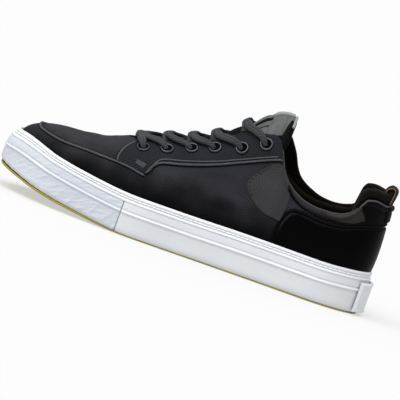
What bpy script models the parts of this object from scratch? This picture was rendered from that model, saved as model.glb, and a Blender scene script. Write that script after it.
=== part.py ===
"""A left skateboarding shoe of about size EU 42: a rubber cup sole and a hollow upper with its overlays.

The toe points along -X, the outer (little toe) side faces -Y, and the shoe stands on Z = 0.
"""

import bmesh
import bpy
import numpy as np

# Driving sizes, in metres.
SHOE_LENGTH = 0.298  # tip of the toe bumper to the back of the heel plate
BALL_WIDTH = 0.108  # widest place of the sole, across the ball of the foot
SIDE_HEIGHT = 0.032  # white side of the sole, floor to top edge, at the middle of the shoe
TOE_SPRING = 0.0164  # rise of the sole's lower edge at the tip of the toe
FOOTBED_HEIGHT = 0.0150  # top of the cup's floor, where the insole lies
INSTEP_RISE = 0.094  # top of the sole's side to the top of the tongue
COLLAR_RISE = 0.036  # top of the sole's side to the lowest place of the collar
UPPER_WALL = 0.0022
RIM_WALL = 0.0022  # the cup's rim at its top edge
CLEARANCE = 0.0003  # between any two neighbouring pieces
RIM_GAP = 0.0005  # between the cup's rim and the upper that it holds
SEWN_GAP = 0.0006  # under a facing, where two curved sheets lie on each other

OUTSOLE_PLATE = 0.0034  # rubber plate let into the underside of the cup
PLATE_INSET = 0.0095  # from the outline to where the plate is at its full thickness
TREAD_DEPTH = 0.0014
TREAD_PITCH = 0.0125
TREAD_GROOVE = 0.0030
TREAD_BORDER = 0.0120  # plain border round the tread

RIDGE_DROP = 0.0140  # the side's ridge below its top edge
RIDGE_WIDTH = 0.0022
RIDGE_STANDS = 0.0011
BEAD_DROP = 0.0056  # the small bead below the top edge
BEAD_WIDTH = 0.0012
BEAD_STANDS = 0.0009
LIP_GROOVE_DROP = 0.0033
LIP_GROOVE_DEPTH = 0.0007
SIDE_LEAN = 0.0028  # the side leans in by this much from the ridge to its top edge
HEEL_STRAIGHT = 0.55  # share of that lean which the heel's back does without
TOE_LEAN = 0.0038  # and by this much more at the tip of the toe
FOOT_CURL = 0.0016  # the side curls in under its lower edge
BUMPER_WALL = 0.0020
HEEL_PLATE_WALL = 0.0026
HEEL_PLATE_LOW = 0.0025
HEEL_PLATE_HIGH = 0.0232
HEEL_PLATE_SPREAD = 31.0  # degrees each way from the back

INSOLE_THICKNESS = 0.0040
OVERLAY_THICKNESS = 0.0013
TONGUE_THICKNESS = 0.0050
TONGUE_TUCK = 1.35  # how far the tongue lies under the upper's form, in walls of the upper
LINING_THICKNESS = 0.0040
LINING_FOOT = 0.62  # the lining's lower edge above the sole's side, as a share of the collar's rise
EYELET_RADIUS = 0.0053
EYELET_HOLE = 0.0034
EYELET_HEIGHT = 0.0013
LACE_WIDTH = 0.0066
LACE_THICKNESS = 0.0026
LACE_BOW = 0.006  # how far the lowest bar bows toward the toe
LACE_END = 0.86  # of the throat's half width, where a crossing ends at the other side
PIPING_RADIUS = 0.0011
TAB_WIDTH = 0.020
TAB_THICKNESS = 0.0020
TAB_HEIGHT = 0.0116  # the pull tab above the upper's edge
TAB_DEPTH = 0.0072  # between its two legs

TOE_AXIS = 0.181  # where the toe's columns fan out, as a share of the length from the toe
HEEL_AXIS = 0.852  # where the heel's columns fan out
THROAT_FRONT = 0.285
THROAT_BACK = 0.70
EYESTAY_END = 0.666
BUMPER_END = 0.3372
FAN_STEPS = 7  # columns in each quarter of a fan
FAN_SHARE = 0.2  # of the way round from toe tip to heel that each fan takes
SMALL = 0.001  # step of way and of t over which a direction is measured
NEAR_END = 0.97  # of a section, where its normal is still well set


def table(columns, rows):
    """The columns of a small table by name."""
    return dict(zip(columns.split(), np.array(rows, float).T))


def smooth(chart, name, at):
    """Reads a column between its rows along a curve that never swings past them."""
    x = chart["at"]
    y = chart[name]
    step = np.diff(x)
    slope = np.diff(y) / step
    bend = np.where(slope[:-1] * slope[1:] > 0, slope[:-1] * slope[1:], 0)
    inner = 2 * bend / np.where(bend > 0, slope[:-1] + slope[1:], 1)
    tangent = np.concatenate([[slope[0]], inner, [slope[-1]]])
    at = np.clip(at, x[0], x[-1])
    i = np.clip(np.searchsorted(x, at, side="right") - 1, 0, len(step) - 1)
    u = (at - x[i]) / step[i]
    low = (2 * u**3 - 3 * u**2 + 1) * y[i] + (u**3 - 2 * u**2 + u) * step[i] * tangent[i]
    high = (3 * u**2 - 2 * u**3) * y[i + 1] + (u**3 - u**2) * step[i] * tangent[i + 1]
    return low + high


# at: share of the length from the toe. half: share of half the ball width. middle: how far the
# middle line lies to the inner side, as a share of the ball width.
OUTLINE = table(
    "at half middle",
    [
        (0.00, 0.70, 0.082),
        (0.10, 0.845, 0.062),
        (0.20, 0.955, 0.034),
        (0.30, 1.00, 0.002),
        (0.37, 0.985, -0.018),
        (0.45, 0.91, -0.033),
        (0.55, 0.825, -0.038),
        (0.65, 0.775, -0.033),
        (0.75, 0.750, -0.022),
        (0.85, 0.750, -0.010),
        (1.00, 0.720, 0.004),
    ],
)
# The toe and the heel of the outline are rounded off over these shares of the length.
TOE_ROUND = 0.20
TOE_ROUND_POWER = 2.4
HEEL_ROUND = 0.17
HEEL_ROUND_POWER = 2.2

# spring: lower edge, share of the toe spring. top: upper edge, share of the side's height.
# bed: the cup's floor, share of its height. edge: the outsole's visible edge, share of its plate.
SOLE = table(
    "at spring top bed edge",
    [
        (0.000, 1.00, 1.405, 1.78, 0.53),
        (0.030, 0.83, 1.395, 1.68, 0.53),
        (0.064, 0.67, 1.350, 1.54, 0.53),
        (0.097, 0.52, 1.285, 1.40, 0.53),
        (0.131, 0.41, 1.215, 1.29, 0.53),
        (0.164, 0.325, 1.170, 1.20, 0.52),
        (0.198, 0.250, 1.125, 1.12, 0.50),
        (0.232, 0.185, 1.085, 1.06, 0.46),
        (0.265, 0.120, 1.050, 1.02, 0.42),
        (0.299, 0.060, 1.018, 1.00, 0.36),
        (0.332, 0.020, 0.995, 0.98, 0.30),
        (0.366, 0.000, 0.984, 0.98, 0.26),
        (0.500, 0.000, 0.981, 1.02, 0.24),
        (0.667, 0.000, 1.000, 1.12, 0.26),
        (0.850, 0.000, 1.000, 1.20, 0.32),
        (0.940, 0.000, 1.030, 1.20, 0.32),
        (1.000, 0.000, 1.060, 1.20, 0.30),
    ],
)

# Sections of the upper, each from the sole's top edge up to the middle line or the collar.
# out, rise: the lower pull, how far outside the foot of the section, as a share of the foot's
# half width, and how high, as a share of the section's height.
# crown, crest: the shoulder's pull, as shares of the foot's half width and the section's height.
# reach: half width at the section's upper end, as a share of the foot's.
SECTION = table(
    "at out rise crown crest reach",
    [
        (0.000, -0.0600, 0.60, 0.56, 0.97, 0.00),
        (0.097, -0.0300, 0.68, 0.57, 0.98, 0.00),
        (0.181, -0.0100, 0.74, 0.58, 1.00, 0.00),
        (0.299, 0.0150, 0.60, 0.52, 1.00, 0.00),
        (0.433, 0.0250, 0.50, 0.44, 1.00, 0.00),
        (0.567, 0.0250, 0.50, 0.49, 1.00, 0.00),
        (0.668, 0.0250, 0.46, 0.64, 1.00, 0.00),
        (0.718, 0.0300, 0.40, 0.80, 0.72, 0.66),
        (0.802, 0.0800, 0.38, 0.92, 0.64, 0.82),
        (0.903, 0.1000, 0.36, 0.93, 0.64, 0.87),
        (1.000, 0.0850, 0.36, 0.94, 0.64, 0.97),
    ],
)
# Height of the section's upper end above the sole's side, as a share of the instep's rise.
CREST = table(
    "at high",
    [
        (0.181, 0.280),
        (0.232, 0.308),
        (0.265, 0.351),
        (0.299, 0.392),
        (0.332, 0.415),
        (0.366, 0.462),
        (0.433, 0.537),
        (0.500, 0.643),
        (0.557, 0.785),
        (0.584, 0.860),
        (0.601, 0.905),
        (0.634, 0.972),
        (0.680, 0.985),
        (0.718, 0.83),
        (0.802, 0.66),
        (0.903, 0.72),
        (1.000, 0.72),
    ],
)
# Half width of the throat's opening between the eyestays, share of the ball width.
THROAT = table(
    "at half",
    [
        (0.285, 0.000),
        (0.291, 0.048),
        (0.305, 0.085),
        (0.332, 0.110),
        (0.433, 0.126),
        (0.567, 0.122),
        (0.668, 0.125),
    ],
)
# Height of the collar's edge above the sole's top edge, shares of the collar's lowest rise.
COLLAR = table(
    "at outer inner",
    [
        (0.600, 4.00, 4.00),
        (0.617, 2.070, 2.22),
        (0.641, 2.110, 2.25),
        (0.655, 2.040, 2.24),
        (0.668, 1.860, 2.17),
        (0.678, 1.690, 2.08),
        (0.688, 1.520, 1.97),
        (0.701, 1.370, 1.80),
        (0.718, 1.240, 1.51),
        (0.735, 1.145, 1.33),
        (0.768, 1.035, 1.17),
        (0.802, 1.000, 1.08),
        (0.830, 1.000, 1.06),
        (0.852, 1.030, 1.08),
        (0.876, 1.090, 1.13),
        (0.895, 1.200, 1.21),
        (0.913, 1.370, 1.37),
        (0.927, 1.500, 1.50),
        (0.950, 1.530, 1.53),
        (0.980, 1.480, 1.48),
        (1.000, 1.540, 1.54),
    ],
)


def share(x):
    return x / SHOE_LENGTH + 0.5


def along(at):
    """Distance along the shoe, from its middle, of a share of the length from the toe."""
    return (at - 0.5) * SHOE_LENGTH


def half_width(x):
    """Half width of the sole's outline, rounded off at toe and heel."""
    at = share(x)
    toe = np.clip((TOE_ROUND - at) / TOE_ROUND, 0, 1)
    back = 1 - (HEEL_PLATE_WALL + CLEARANCE) / SHOE_LENGTH
    heel = np.clip((at - back + HEEL_ROUND) / HEEL_ROUND, 0, 1)
    ends = (1 - toe**TOE_ROUND_POWER) ** (1 / TOE_ROUND_POWER)
    ends = ends * (1 - heel**HEEL_ROUND_POWER) ** (1 / HEEL_ROUND_POWER)
    return smooth(OUTLINE, "half", at) * BALL_WIDTH / 2 * ends


def raw_middle(x):
    return smooth(OUTLINE, "middle", share(x)) * BALL_WIDTH


def sideways_balance():
    """Half the difference between the outline's farthest outer and inner points."""
    x = along(np.linspace(0, 1, 400))
    outer = np.max(half_width(x) - raw_middle(x))
    inner = np.max(half_width(x) + raw_middle(x))
    return (inner - outer) / 2


BALANCE = sideways_balance()


def middle(x):
    """The shoe's curved middle line, set so that the outline lies evenly about Y = 0."""
    return raw_middle(x) - BALANCE


def place(way):
    """Axis point and outward direction, in plan, of columns round the shoe.

    way runs from 0 at the toe's tip along the outer side to 1 at the heel's back, and along the
    inner side to 2 at the tip again."""
    way = np.asarray(way, float) % 2
    side = np.where(way <= 1, -1.0, 1.0)
    k = np.where(way <= 1, way, 2 - way)
    toe = np.clip(k / FAN_SHARE, 0, 1) * np.pi / 2
    heel = np.clip((k - 1 + FAN_SHARE) / FAN_SHARE, 0, 1) * np.pi / 2
    mid = np.clip((k - FAN_SHARE) / (1 - 2 * FAN_SHARE), 0, 1)
    x = along(TOE_AXIS + mid * (HEEL_AXIS - TOE_AXIS))
    axis = np.stack([x, middle(x)], -1)
    out = np.stack([np.sin(heel) - np.cos(toe), side * np.sin(toe) * np.cos(heel)], -1)
    return axis, out


def way_at(at, side):
    """The column, on the outer (-1) or inner (1) side, that crosses a share of the length from the toe."""
    k = FAN_SHARE + (1 - 2 * FAN_SHARE) * (np.asarray(at, float) - TOE_AXIS) / (HEEL_AXIS - TOE_AXIS)
    return np.where(np.asarray(side) < 0, k, 2 - k)


def outline_reach(axis, out):
    """Distance from each axis point to the sole's outline, found by halving the span."""
    near = np.zeros(len(axis))
    far = np.full(len(axis), SHOE_LENGTH / 3)
    for _ in range(40):
        half = (near + far) / 2
        x = axis[:, 0] + out[:, 0] * half
        y = axis[:, 1] + out[:, 1] * half
        inside = (np.abs(y - middle(x)) < half_width(x)) & (np.abs(x) < SHOE_LENGTH / 2)
        near = np.where(inside, half, near)
        far = np.where(inside, far, half)
    return near


def column(way):
    """Everything that the pieces read at one column: its plan, its reach and the sole's heights."""
    way = np.asarray(way, float)
    axis, out = place(way)
    reach = outline_reach(axis, out)
    at = share(axis[:, 0] + out[:, 0] * reach)
    low = smooth(SOLE, "spring", at) * TOE_SPRING
    top = smooth(SOLE, "top", at) * SIDE_HEIGHT
    bed = smooth(SOLE, "bed", at) * FOOTBED_HEIGHT
    edge = smooth(SOLE, "edge", at) * OUTSOLE_PLATE
    toe = np.clip(1 - at / TOE_AXIS, 0, 1) * np.clip(-out[:, 0], 0, 1)
    heel = np.clip((at - HEEL_AXIS) / (1 - HEEL_AXIS), 0, 1)
    lip = SIDE_LEAN * (1 - HEEL_STRAIGHT * heel) + TOE_LEAN * toe
    return {
        "way": way,
        "axis": axis,
        "out": out,
        "reach": reach,
        "at": at,
        "low": low,
        "top": top,
        "bed": bed,
        "edge": edge,
        "toe": toe,
        "lip": lip,
        "foot": reach - lip - RIM_WALL - RIM_GAP,
    }


def seat(col, radius, height):
    """Points at a radius from each column's axis and at a height."""
    radius = np.broadcast_to(radius, col["way"].shape)
    height = np.broadcast_to(height, col["way"].shape)
    xy = col["axis"] + col["out"] * radius[:, None]
    return np.concatenate([xy, height[:, None]], 1)


def section(col, t):
    """Radius and height on the upper's outer form: a four-point curve from the sole's edge to the top."""
    at = np.maximum(col["at"], 0)
    foot = col["foot"]
    start = col["top"] - RIM_WALL
    high = smooth(CREST, "high", np.maximum(at, TOE_AXIS)) * INSTEP_RISE + SIDE_HEIGHT
    tall = high - start
    r1 = foot * (1 + smooth(SECTION, "out", at))
    z1 = start + tall * smooth(SECTION, "rise", at)
    r2 = foot * smooth(SECTION, "crown", at)
    z2 = start + tall * smooth(SECTION, "crest", at)
    r3 = foot * smooth(SECTION, "reach", at)
    a = (1 - t) ** 3
    b = 3 * t * (1 - t) ** 2
    c = 3 * t**2 * (1 - t)
    d = t**3
    return a * foot + b * r1 + c * r2 + d * r3, a * start + b * z1 + c * z2 + d * high


def skin(way, t, off=0.0):
    """Points on the upper's form, moved out along its normal by off."""
    way = np.asarray(way, float)
    t = np.broadcast_to(t, way.shape)
    col = column(way)
    point = seat(col, *section(col, t))
    back = np.where(t > 0.5, -SMALL, SMALL)
    up = (seat(col, *section(col, t + back)) - point) / back[:, None]
    # The columns meet at a fan's axis, so the normal near a section's end is read a little below it.
    below = np.minimum(t, NEAR_END)
    up_below = seat(col, *section(col, below)) - seat(col, *section(col, below - SMALL))
    before = column(way - SMALL)
    after = column(way + SMALL)
    round_way = seat(after, *section(after, below)) - seat(before, *section(before, below))
    normal = np.cross(round_way, np.where((t > NEAR_END)[:, None], up_below, up))
    normal = normal / np.linalg.norm(normal, axis=1)[:, None]
    outward = normal[:, 0] * col["out"][:, 0] + normal[:, 1] * col["out"][:, 1] + normal[:, 2] * 0.5
    normal = np.where((outward < 0)[:, None], -normal, normal)
    closed = (t >= 1) & (np.abs(section(col, np.ones_like(t))[0]) < 1e-6)
    fan = np.abs(col["out"][:, 0]) > 1e-6
    flat = np.stack([np.where(fan, 0, normal[:, 0]), np.zeros_like(t), normal[:, 2]], -1)
    flat = flat / np.linalg.norm(flat, axis=1)[:, None]
    normal = np.where(closed[:, None], flat, normal)
    return point + normal * np.broadcast_to(off, way.shape)[:, None]


def t_at_height(way, height):
    """Where on each column's section the form reaches a height."""
    col = column(way)
    low = np.zeros(len(col["way"]))
    high = np.ones(len(col["way"]))
    for _ in range(30):
        half = (low + high) / 2
        under = section(col, half)[1] < height
        low = np.where(under, half, low)
        high = np.where(under, high, half)
    return high


def t_at_radius(way, radius):
    """Where on each column's section the form comes in to a radius."""
    col = column(way)
    low = np.zeros(len(col["way"]))
    high = np.ones(len(col["way"]))
    for _ in range(30):
        half = (low + high) / 2
        over = section(col, half)[0] > radius
        low = np.where(over, half, low)
        high = np.where(over, high, half)
    return high


def t_top(way):
    """Where each column of the upper ends: at the middle line, the throat's edge or the collar's edge."""
    way = np.asarray(way, float)
    col = column(way)
    at = col["at"]
    inner = (way % 2) > 1
    rise = np.where(inner, smooth(COLLAR, "inner", at), smooth(COLLAR, "outer", at))
    by_collar = t_at_height(way, SIDE_HEIGHT + rise * COLLAR_RISE)
    by_throat = t_at_radius(way, smooth(THROAT, "half", at) * BALL_WIDTH)
    by_throat = np.where(at <= THROAT_FRONT + 1e-6, 1.0, by_throat)
    by_throat = np.where(at > THROAT_BACK, 1.0, by_throat)
    return np.where(at < COLLAR["at"][0], by_throat, np.minimum(by_throat, by_collar))


def make_material(name, colour, roughness, metallic=0.0):
    material = bpy.data.materials.new(name)
    material.use_nodes = True
    shader = material.node_tree.nodes["Principled BSDF"]
    shader.inputs["Base Color"].default_value = (*colour, 1)
    shader.inputs["Roughness"].default_value = roughness
    shader.inputs["Metallic"].default_value = metallic
    return material


def make_object(name, points, faces, material):
    """One object from points and faces, with points that share a place made one."""
    points = np.asarray(points, float)
    keys = np.round(points / 2e-6).astype(np.int64)
    _, first, index = np.unique(keys, axis=0, return_index=True, return_inverse=True)
    index = index.reshape(-1)
    clean = []
    for face in faces:
        ring = []
        for vertex in face:
            vertex = int(index[vertex])
            if vertex not in ring:
                ring.append(vertex)
        if len(ring) > 2:
            clean.append(ring)
    mesh = bpy.data.meshes.new(name)
    mesh.from_pydata(points[first].tolist(), [], clean)
    mesh.materials.append(material)
    edit = bmesh.new()
    edit.from_mesh(mesh)
    bmesh.ops.recalc_face_normals(edit, faces=edit.faces)
    edit.to_mesh(mesh)
    edit.free()
    mesh.shade_smooth()
    mesh.set_sharp_from_angle(angle=np.radians(40))
    thing = bpy.data.objects.new(name, mesh)
    bpy.context.scene.collection.objects.link(thing)
    return thing


def triangles_of_grid(rows, across, closed_rows, closed_across):
    """Two triangles for each cell of a grid of rows x across points."""
    faces = []
    for i in range(rows if closed_rows else rows - 1):
        for j in range(across if closed_across else across - 1):
            a = i * across + j
            b = i * across + (j + 1) % across
            c = (i + 1) % rows * across + (j + 1) % across
            d = (i + 1) % rows * across + j
            if (i + j) % 2:
                faces += [(a, b, c), (a, c, d)]
            else:
                faces += [(a, b, d), (b, c, d)]
    return faces


def ring_solid(name, profile, material, closed_profile):
    """A solid from profiles round the shoe: profile[j] holds the points of level j, one for each column."""
    levels = np.stack(profile)
    count, columns = levels.shape[:2]
    faces = triangles_of_grid(count, columns, closed_profile, True)
    return make_object(name, levels.reshape(-1, 3), faces, material)


def slab_solid(name, outer, inner, material):
    """A solid between two grids of the same size, with walls round their edges."""
    rows, across = outer.shape[:2]
    count = rows * across
    points = np.concatenate([outer.reshape(-1, 3), inner.reshape(-1, 3)])
    top = triangles_of_grid(rows, across, False, False)
    faces = top + [tuple(v + count for v in face[::-1]) for face in top]
    rim = [j for j in range(across)]
    rim += [i * across + across - 1 for i in range(1, rows)]
    rim += [(rows - 1) * across + j for j in range(across - 2, -1, -1)]
    rim += [i * across for i in range(rows - 2, 0, -1)]
    for k, a in enumerate(rim):
        b = rim[(k + 1) % len(rim)]
        faces += [(b, a, a + count), (b, a + count, b + count)]
    return make_object(name, points, faces, material)


def ways(stations, fan_steps):
    """Columns all the way round: a fan at the toe, the given stations on both sides, a fan at the heel."""
    fan = np.linspace(0, FAN_SHARE, fan_steps + 1)
    outer = np.concatenate([fan[:-1], way_at(stations, -1), 1 - fan[:-1][::-1]])
    inner = 2 - outer[1:-1][::-1]
    return np.concatenate([outer, inner])


for old in list(bpy.data.objects):
    bpy.data.objects.remove(old, do_unlink=True)

WHITE_RUBBER = make_material("white_rubber", (0.80, 0.81, 0.82), 0.45)
BUMPER_RUBBER = make_material("textured_white_rubber", (0.80, 0.81, 0.82), 0.55)
OUTSOLE_RUBBER = make_material("olive_rubber", (0.33, 0.30, 0.03), 0.55)
TWILL = make_material("black_twill", (0.022, 0.022, 0.024), 0.85)
CANVAS = make_material("charcoal_canvas", (0.045, 0.046, 0.050), 0.9)
COATED = make_material("smooth_black_leather", (0.030, 0.030, 0.033), 0.38)
GREY_LEATHER = make_material("grey_leather", (0.20, 0.20, 0.21), 0.5)
PIPING = make_material("grey_piping", (0.07, 0.07, 0.075), 0.6)
MESH_LINING = make_material("brown_lining", (0.035, 0.024, 0.020), 0.95)
LACE = make_material("lace_cord", (0.035, 0.036, 0.040), 0.85)
METAL = make_material("gunmetal", (0.12, 0.12, 0.13), 0.35, 1.0)
WEBBING = make_material("black_webbing", (0.03, 0.03, 0.033), 0.8)
FOAM = make_material("insole_cloth", (0.03, 0.03, 0.032), 0.9)


def spring_at(col, radius):
    """Height of the sole's lower surface under a radius of each column."""
    x = col["axis"][:, 0] + col["out"][:, 0] * radius
    return smooth(SOLE, "spring", share(x)) * TOE_SPRING


def bed_at(col, radius):
    """Height of the cup's floor at a radius of each column."""
    x = col["axis"][:, 0] + col["out"][:, 0] * radius
    return smooth(SOLE, "bed", share(x)) * FOOTBED_HEIGHT


def join_middle(points, way):
    """Makes the two sides' points one on the middle line, and each fan's points one at its axis."""
    points = points.copy()
    n = len(points)
    k = np.minimum(way, 2 - way)
    toe = int(np.argmin(np.abs(k[: n // 2] - FAN_SHARE)))
    heel = int(np.argmin(np.abs(k[: n // 2] - 1 + FAN_SHARE)))
    half = n // 2
    for j in range(half + 1):
        source = min(max(j, toe), heel)
        points[j] = points[source]
        points[(n - j) % n] = points[source]
    return points


def side_levels(col):
    """The cup's side from its lower corner to the small bead: height, inset and how far it stands out."""
    top = col["top"]
    foot = col["low"] + col["edge"] + CLEARANCE
    ridge = top - RIDGE_DROP
    bead = top - BEAD_DROP

    def inset(z):
        part = np.clip((z - ridge) / (top - ridge), 0, 1)
        return RIDGE_STANDS + (col["lip"] - RIDGE_STANDS) * part**1.6

    rows = [
        (foot, RIDGE_STANDS + FOOT_CURL, 0.0),
        (foot + 2 * FOOT_CURL, RIDGE_STANDS + 0.15 * FOOT_CURL, 0.0),
        (ridge - RIDGE_WIDTH / 2, inset(ridge), 0.0),
        (ridge, inset(ridge), RIDGE_STANDS),
        (ridge + RIDGE_WIDTH / 2, inset(ridge), 0.0),
        (bead - BEAD_WIDTH / 2, inset(bead - BEAD_WIDTH / 2), 0.0),
    ]
    lip = [
        (bead, inset(bead), BEAD_STANDS),
        (bead + BEAD_WIDTH / 2, inset(bead + BEAD_WIDTH / 2), 0.0),
        (top - LIP_GROOVE_DROP, inset(top - LIP_GROOVE_DROP), -LIP_GROOVE_DEPTH),
        (top, col["lip"], 0.0),
    ]
    return rows, lip


def in_bumper(col):
    return col["at"] < BUMPER_END - 0.5 * CLEARANCE / SHOE_LENGTH


SOLE_STATIONS = np.array(
    [TOE_AXIS, 0.215, 0.250, 0.285, 0.315, BUMPER_END - CLEARANCE / SHOE_LENGTH, BUMPER_END]
    + list(np.linspace(0.375, 0.81, 12))
    + [HEEL_AXIS]
)


def build_cup():
    col = column(ways(SOLE_STATIONS, FAN_STEPS))
    reach = col["reach"]
    under = lambda r: spring_at(col, r) + OUTSOLE_PLATE + CLEARANCE
    inner = reach - PLATE_INSET
    levels = [
        join_middle(seat(col, 0, under(0)), col["way"]),
        seat(col, inner, under(inner)),
        seat(col, inner, spring_at(col, inner) + col["edge"] + CLEARANCE),
    ]
    rows, lip = side_levels(col)
    recess = in_bumper(col)
    for z, inset, stands in rows:
        deep = np.where(recess, inset + BUMPER_WALL + CLEARANCE, inset - stands)
        levels.append(seat(col, reach - deep, z))
    z, inset, _ = rows[-1]
    levels.append(seat(col, reach - inset, z))
    for z, inset, stands in lip:
        levels.append(seat(col, reach - inset + stands, z))
    rim = reach - col["lip"] - RIM_WALL
    levels.append(seat(col, rim, col["top"] - 0.2 * RIM_WALL))
    levels.append(seat(col, rim, bed_at(col, rim)))
    levels.append(join_middle(seat(col, 0, bed_at(col, 0)), col["way"]))
    return ring_solid("cupsole", levels, WHITE_RUBBER, False)


def build_bumper():
    stations = np.append(SOLE_STATIONS[SOLE_STATIONS < 0.32], BUMPER_END - 2 * CLEARANCE / SHOE_LENGTH)
    side = way_at(stations, -1)
    fan = np.linspace(0, FAN_SHARE, FAN_STEPS + 1)[:-1]
    half = np.concatenate([fan, side])
    col = column(np.concatenate([2 - half[::-1][:-1], half]))
    reach = col["reach"]
    rows, _ = side_levels(col)
    outer = []
    inner = []
    for k, (z, inset, stands) in enumerate(rows):
        z = z - CLEARANCE * (k == len(rows) - 1)
        outer.append(seat(col, reach - inset + stands, z))
        inner.append(seat(col, reach - inset - BUMPER_WALL, z))
    return slab_solid("toe_bumper", np.stack(outer), np.stack(inner), BUMPER_RUBBER)


def build_heel_plate():
    spread = FAN_SHARE * HEEL_PLATE_SPREAD / 90
    col = column(1 + np.linspace(-spread, spread, 9))
    reach = col["reach"] + CLEARANCE
    heights = np.linspace(HEEL_PLATE_LOW, HEEL_PLATE_HIGH, 5)
    bulge = HEEL_PLATE_WALL * np.array([0.72, 1.0, 1.0, 1.0, 0.72])
    outer = [seat(col, reach + b, z) for z, b in zip(heights, bulge)]
    inner = [seat(col, reach, z) for z in heights]
    return slab_solid("heel_plate", np.stack(outer), np.stack(inner), WHITE_RUBBER)


def tread_stations():
    """Edges of the grooves across the forefoot and heel, and of the hollow under the arch."""
    wall = CLEARANCE / SHOE_LENGTH
    half = TREAD_GROOVE / SHOE_LENGTH / 2
    pitch = TREAD_PITCH / SHOE_LENGTH
    spans = [(c - half, c + half) for c in 0.240 + pitch * np.arange(5)]
    spans.append((0.485, 0.690))
    spans += [(c - half, c + half) for c in 0.745 + pitch * np.arange(2)]
    stations = [TOE_AXIS]
    hollow = [False]
    for start, end in spans:
        stations += [start - wall, start, end, end + wall]
        hollow += [False, True, True, False]
    return np.array(stations + [HEEL_AXIS]), np.array(hollow + [False])


def build_outsole():
    stations, hollow = tread_stations()
    middle_more = np.linspace(0.50, 0.68, 5)
    order = np.argsort(np.concatenate([stations, middle_more]))
    hollow = np.concatenate([hollow, np.ones(len(middle_more), bool)])[order]
    stations = np.concatenate([stations, middle_more])[order]
    col = column(ways(stations, FAN_STEPS))
    fan = np.zeros(FAN_STEPS, bool)
    outer = np.concatenate([fan, hollow, fan])
    deep = np.concatenate([outer, outer[1:-1][::-1]]) * TREAD_DEPTH
    reach = col["reach"]
    border = reach - TREAD_BORDER
    foot = reach - RIDGE_STANDS - FOOT_CURL
    step = reach - PLATE_INSET - CLEARANCE
    under = lambda r: spring_at(col, r)
    levels = [
        join_middle(seat(col, 0, under(0) + deep), col["way"]),
        seat(col, border, under(border) + deep),
        seat(col, border, under(border)),
        seat(col, foot - 0.3 * FOOT_CURL, under(foot)),
        seat(col, foot, under(foot) + col["edge"]),
        seat(col, step, under(step) + col["edge"]),
        seat(col, step, under(step) + OUTSOLE_PLATE),
        join_middle(seat(col, 0, under(0) + OUTSOLE_PLATE), col["way"]),
    ]
    return ring_solid("outsole", levels, OUTSOLE_RUBBER, False)


def build_insole():
    col = column(ways(SOLE_STATIONS, FAN_STEPS))
    edge = col["foot"] - UPPER_WALL - CLEARANCE
    floor = lambda r: bed_at(col, r) + CLEARANCE
    levels = [
        join_middle(seat(col, 0, floor(0)), col["way"]),
        seat(col, edge, floor(edge)),
        seat(col, edge, floor(edge) + INSOLE_THICKNESS),
        join_middle(seat(col, 0, floor(0) + INSOLE_THICKNESS), col["way"]),
    ]
    return ring_solid("insole", levels, FOAM, False)


# Columns near the collar's front corner, which the upper and its facings share.
CORNER = (
    [0.615, 0.624, 0.634, 0.647, 0.658]
    + [EYESTAY_END, EYESTAY_END + 0.001, EYESTAY_END + 0.003]
    + [0.680, 0.692, 0.706, 0.722]
)
UPPER_STATIONS = np.array(
    [TOE_AXIS, 0.215, 0.250, THROAT_FRONT, 0.291, 0.303, 0.325, 0.360, 0.400]
    + [0.450, 0.485, 0.520, 0.555, 0.590]
    + CORNER
    + [0.745, 0.785, 0.820, HEEL_AXIS]
)


def build_upper():
    way = ways(UPPER_STATIONS, FAN_STEPS)
    col = column(way)
    n = len(way)
    tops = t_top(way)
    closed = col["at"] <= THROAT_FRONT + 1e-6
    outer = [skin(way, tops * s, 0.0) for s in (0, 0.14, 0.30, 0.46, 0.62, 0.78, 0.91, 1)]
    inner = [skin(way, tops * s, -UPPER_WALL) for s in (0, 0.25, 0.50, 0.72, 0.90, 1)]
    for rows in (outer, inner):
        joined = join_middle(rows[-1], way)
        rows[-1] = np.where(closed[:, None], joined, rows[-1])
    skirt = bed_at(col, col["foot"]) + CLEARANCE
    inner[0] = seat(col, col["foot"] - UPPER_WALL, col["top"] - RIM_WALL)
    levels = [seat(col, col["foot"], skirt)] + outer + inner[::-1]
    levels.append(seat(col, col["foot"] - UPPER_WALL, skirt))
    grid = np.stack(levels)
    count = len(levels)
    faces = []
    for i in range(count):
        for j in range(n):
            k = (j + 1) % n
            if i == len(outer) and closed[j] and closed[k]:
                continue
            a = i * n + j
            b = i * n + k
            c = (i + 1) % count * n + k
            d = (i + 1) % count * n + j
            faces += [(a, b, c), (a, c, d)]
    return make_object("upper", grid.reshape(-1, 3), faces, TWILL)


def overlay(name, way, low, high, material, rows, off=SEWN_GAP):
    """A sheet cut between two larger forms of the upper, from t = low to t = high along the columns."""
    outer = []
    inner = []
    for s in np.linspace(0, 1, rows):
        t = low + (high - low) * s
        outer.append(skin(way, t, off + OVERLAY_THICKNESS))
        inner.append(skin(way, t, off))
    return slab_solid(name, np.stack(outer), np.stack(inner), material)


def side_ways(first, last, count, side):
    return way_at(np.linspace(first, last, count), side)


def instep_height(rise):
    return SIDE_HEIGHT + rise * INSTEP_RISE


# Lower edge of the eyestay, and where the eyelets sit: heights as shares of the instep's rise.
EYESTAY = table(
    "at low",
    [
        (0.292, 0.205),
        (0.336, 0.195),
        (0.360, 0.198),
        (0.374, 0.228),
        (0.388, 0.285),
        (0.406, 0.305),
        (0.433, 0.327),
        (0.466, 0.358),
        (0.500, 0.396),
        (0.534, 0.444),
        (0.567, 0.497),
        (0.601, 0.545),
        (0.634, 0.598),
        (0.668, 0.638),
    ],
)
EYELETS = table(
    "at rise",
    [(0.3356, 0.344), (0.3926, 0.399), (0.4513, 0.470), (0.5067, 0.540), (0.5705, 0.616), (0.6242, 0.712)],
)


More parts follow.
